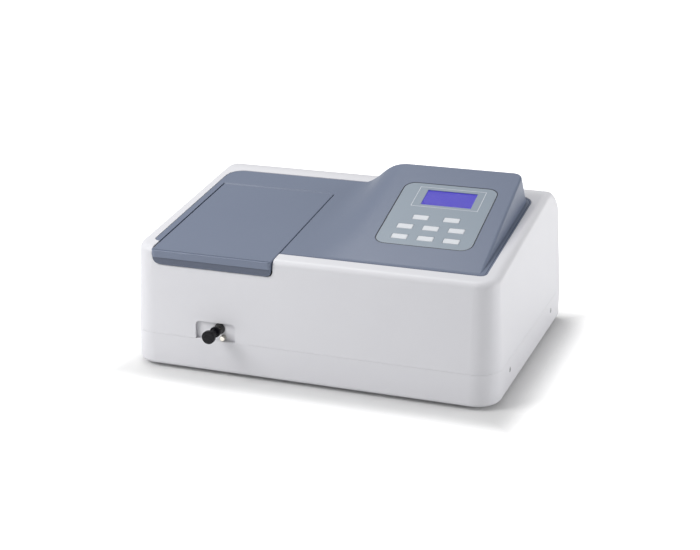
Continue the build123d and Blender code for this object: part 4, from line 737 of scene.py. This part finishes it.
def addFoilGapShade(look):
    # painted shade: a dark line along the foil's edge, standing for the shaded gap round the foil
    bm = bmesh.new()
    rings = []
    for inset in (0.0, look["width"]):
        half = (look["half"][0] - inset, look["half"][1] - inset)
        ring = roundedRing(half, look["radius"] - inset, look["cornerSteps"])
        x, along = look["centre"]
        rings.append([bm.verts.new(onConsole(x + dx, along + dy, look["lift"])) for dx, dy in ring])
    bridge(bm, *rings)
    line = meshObject("foilGapShade", bm, smooth=False)
    line.data.materials.append(finishes["plasticBlack"])
    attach(line, "case")


addFoilGapShade(foilGapShade)
print("foil printed")

# the deck's sloping plane, for the lines along its edges
deckPlane = {"start": (0.0, -0.16, 0.1546), "angle": 7.54, "sink": 0.0006}
deckTilt = radians(deckPlane["angle"])


def onDeck(x, along, lift):
    return onSlope(deckPlane["start"], deckTilt, x, along, lift - deckPlane["sink"])


# painted shade: where the dark strips in the lid's side gaps lie
lidGapShade = {
    "sides": ((-0.2044, -0.2031), (-0.0449, -0.0436)),
    "along": (0.0275, 0.2205),
    "lift": -0.0014,
}


def addLidGapShade(look):
    # painted shade: dark strips laid in the gaps beside the lid, where only shade falls
    bm = bmesh.new()
    low, high = look["along"]
    for left, right in look["sides"]:
        corners = ((left, low), (right, low), (right, high), (left, high))
        bm.faces.new([bm.verts.new(onDeck(x, along, look["lift"])) for x, along in corners])
    strips = meshObject("lidGapShade", bm, smooth=False)
    strips.data.materials.append(finishes["paintedShadeBlue"])
    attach(strips, "case")


addLidGapShade(lidGapShade)

# painted shade: where the dark line inside the deck's edge lies
deckGrooveShade = {
    "start": -0.042,
    "right": 0.213,
    "front": 0.0268,
    "rear": 0.2695,
    "frontRadius": 0.008,
    "rearRadius": 0.022,
    "inset": 0.0022,
    "width": 0.0006,
    "lift": 0.00006,
    "cornerSteps": 8,
}


def edgeRun(look, inset):
    # points along the deck's front edge, round its corners and up its right side
    points = [(look["start"], look["front"] + inset)]
    corners = (
        (look["front"] + look["frontRadius"], look["frontRadius"], -0.5),
        (look["rear"] - look["rearRadius"], look["rearRadius"], 0.0),
    )
    for along, radius, turn in corners:
        x = look["right"] - radius
        for step in range(look["cornerSteps"] + 1):
            angle = (turn + 0.5 * step / look["cornerSteps"]) * pi
            reach = radius - inset
            points.append((x + reach * cos(angle), along + reach * sin(angle)))
    return points


def addDeckGrooveShade(look):
    # painted shade: a dark line just inside the deck's edge, standing for the shade in a fine moulded groove
    # there
    bm = bmesh.new()
    rows = []
    for inset in (look["inset"], look["inset"] + look["width"]):
        rows.append([bm.verts.new(onDeck(x, along, look["lift"])) for x, along in edgeRun(look, inset)])
    bridge(bm, *rows, closed=False)
    line = meshObject("deckGrooveShade", bm, smooth=False)
    line.data.materials.append(finishes["paintedShadeBlue"])
    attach(line, "case")


addDeckGrooveShade(deckGrooveShade)

# painted shade: where the darker sheet on the lid's apron lies
apronShadeBand = {
    "left": -0.2023,
    "right": -0.0457,
    "top": 0.1444,
    "bottom": 0.1366,
    "leftRadius": 0.0115,
    "rightRadius": 0.0055,
    "front": -0.15726,
    "cornerSteps": 8,
}


def addApronShade(look):
    # painted shade: a darker sheet on the face of the lid's set-back apron, for the shade under its lip
    points = [(look["left"], look["top"]), (look["right"], look["top"])]
    corners = ((look["right"], -1, look["rightRadius"]), (look["left"], 1, look["leftRadius"]))
    for edge, side, radius in corners:
        reach = min(radius, look["top"] - look["bottom"])
        for step in range(look["cornerSteps"] + 1):
            share = step / look["cornerSteps"]
            angle = share * pi / 2 if side < 0 else (1 - share) * pi / 2
            x = edge + side * reach * (1 - cos(angle))
            points.append((x, look["bottom"] + reach * (1 - sin(angle))))
    bm = bmesh.new()
    bm.faces.new([bm.verts.new((x, look["front"], z)) for x, z in points])
    band = meshObject("apronShadeBand", bm, smooth=False)
    band.data.materials.append(finishes["apronShadeBlue"])
    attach(band, "lid")


addApronShade(apronShadeBand)
print("deck and lid lines made")
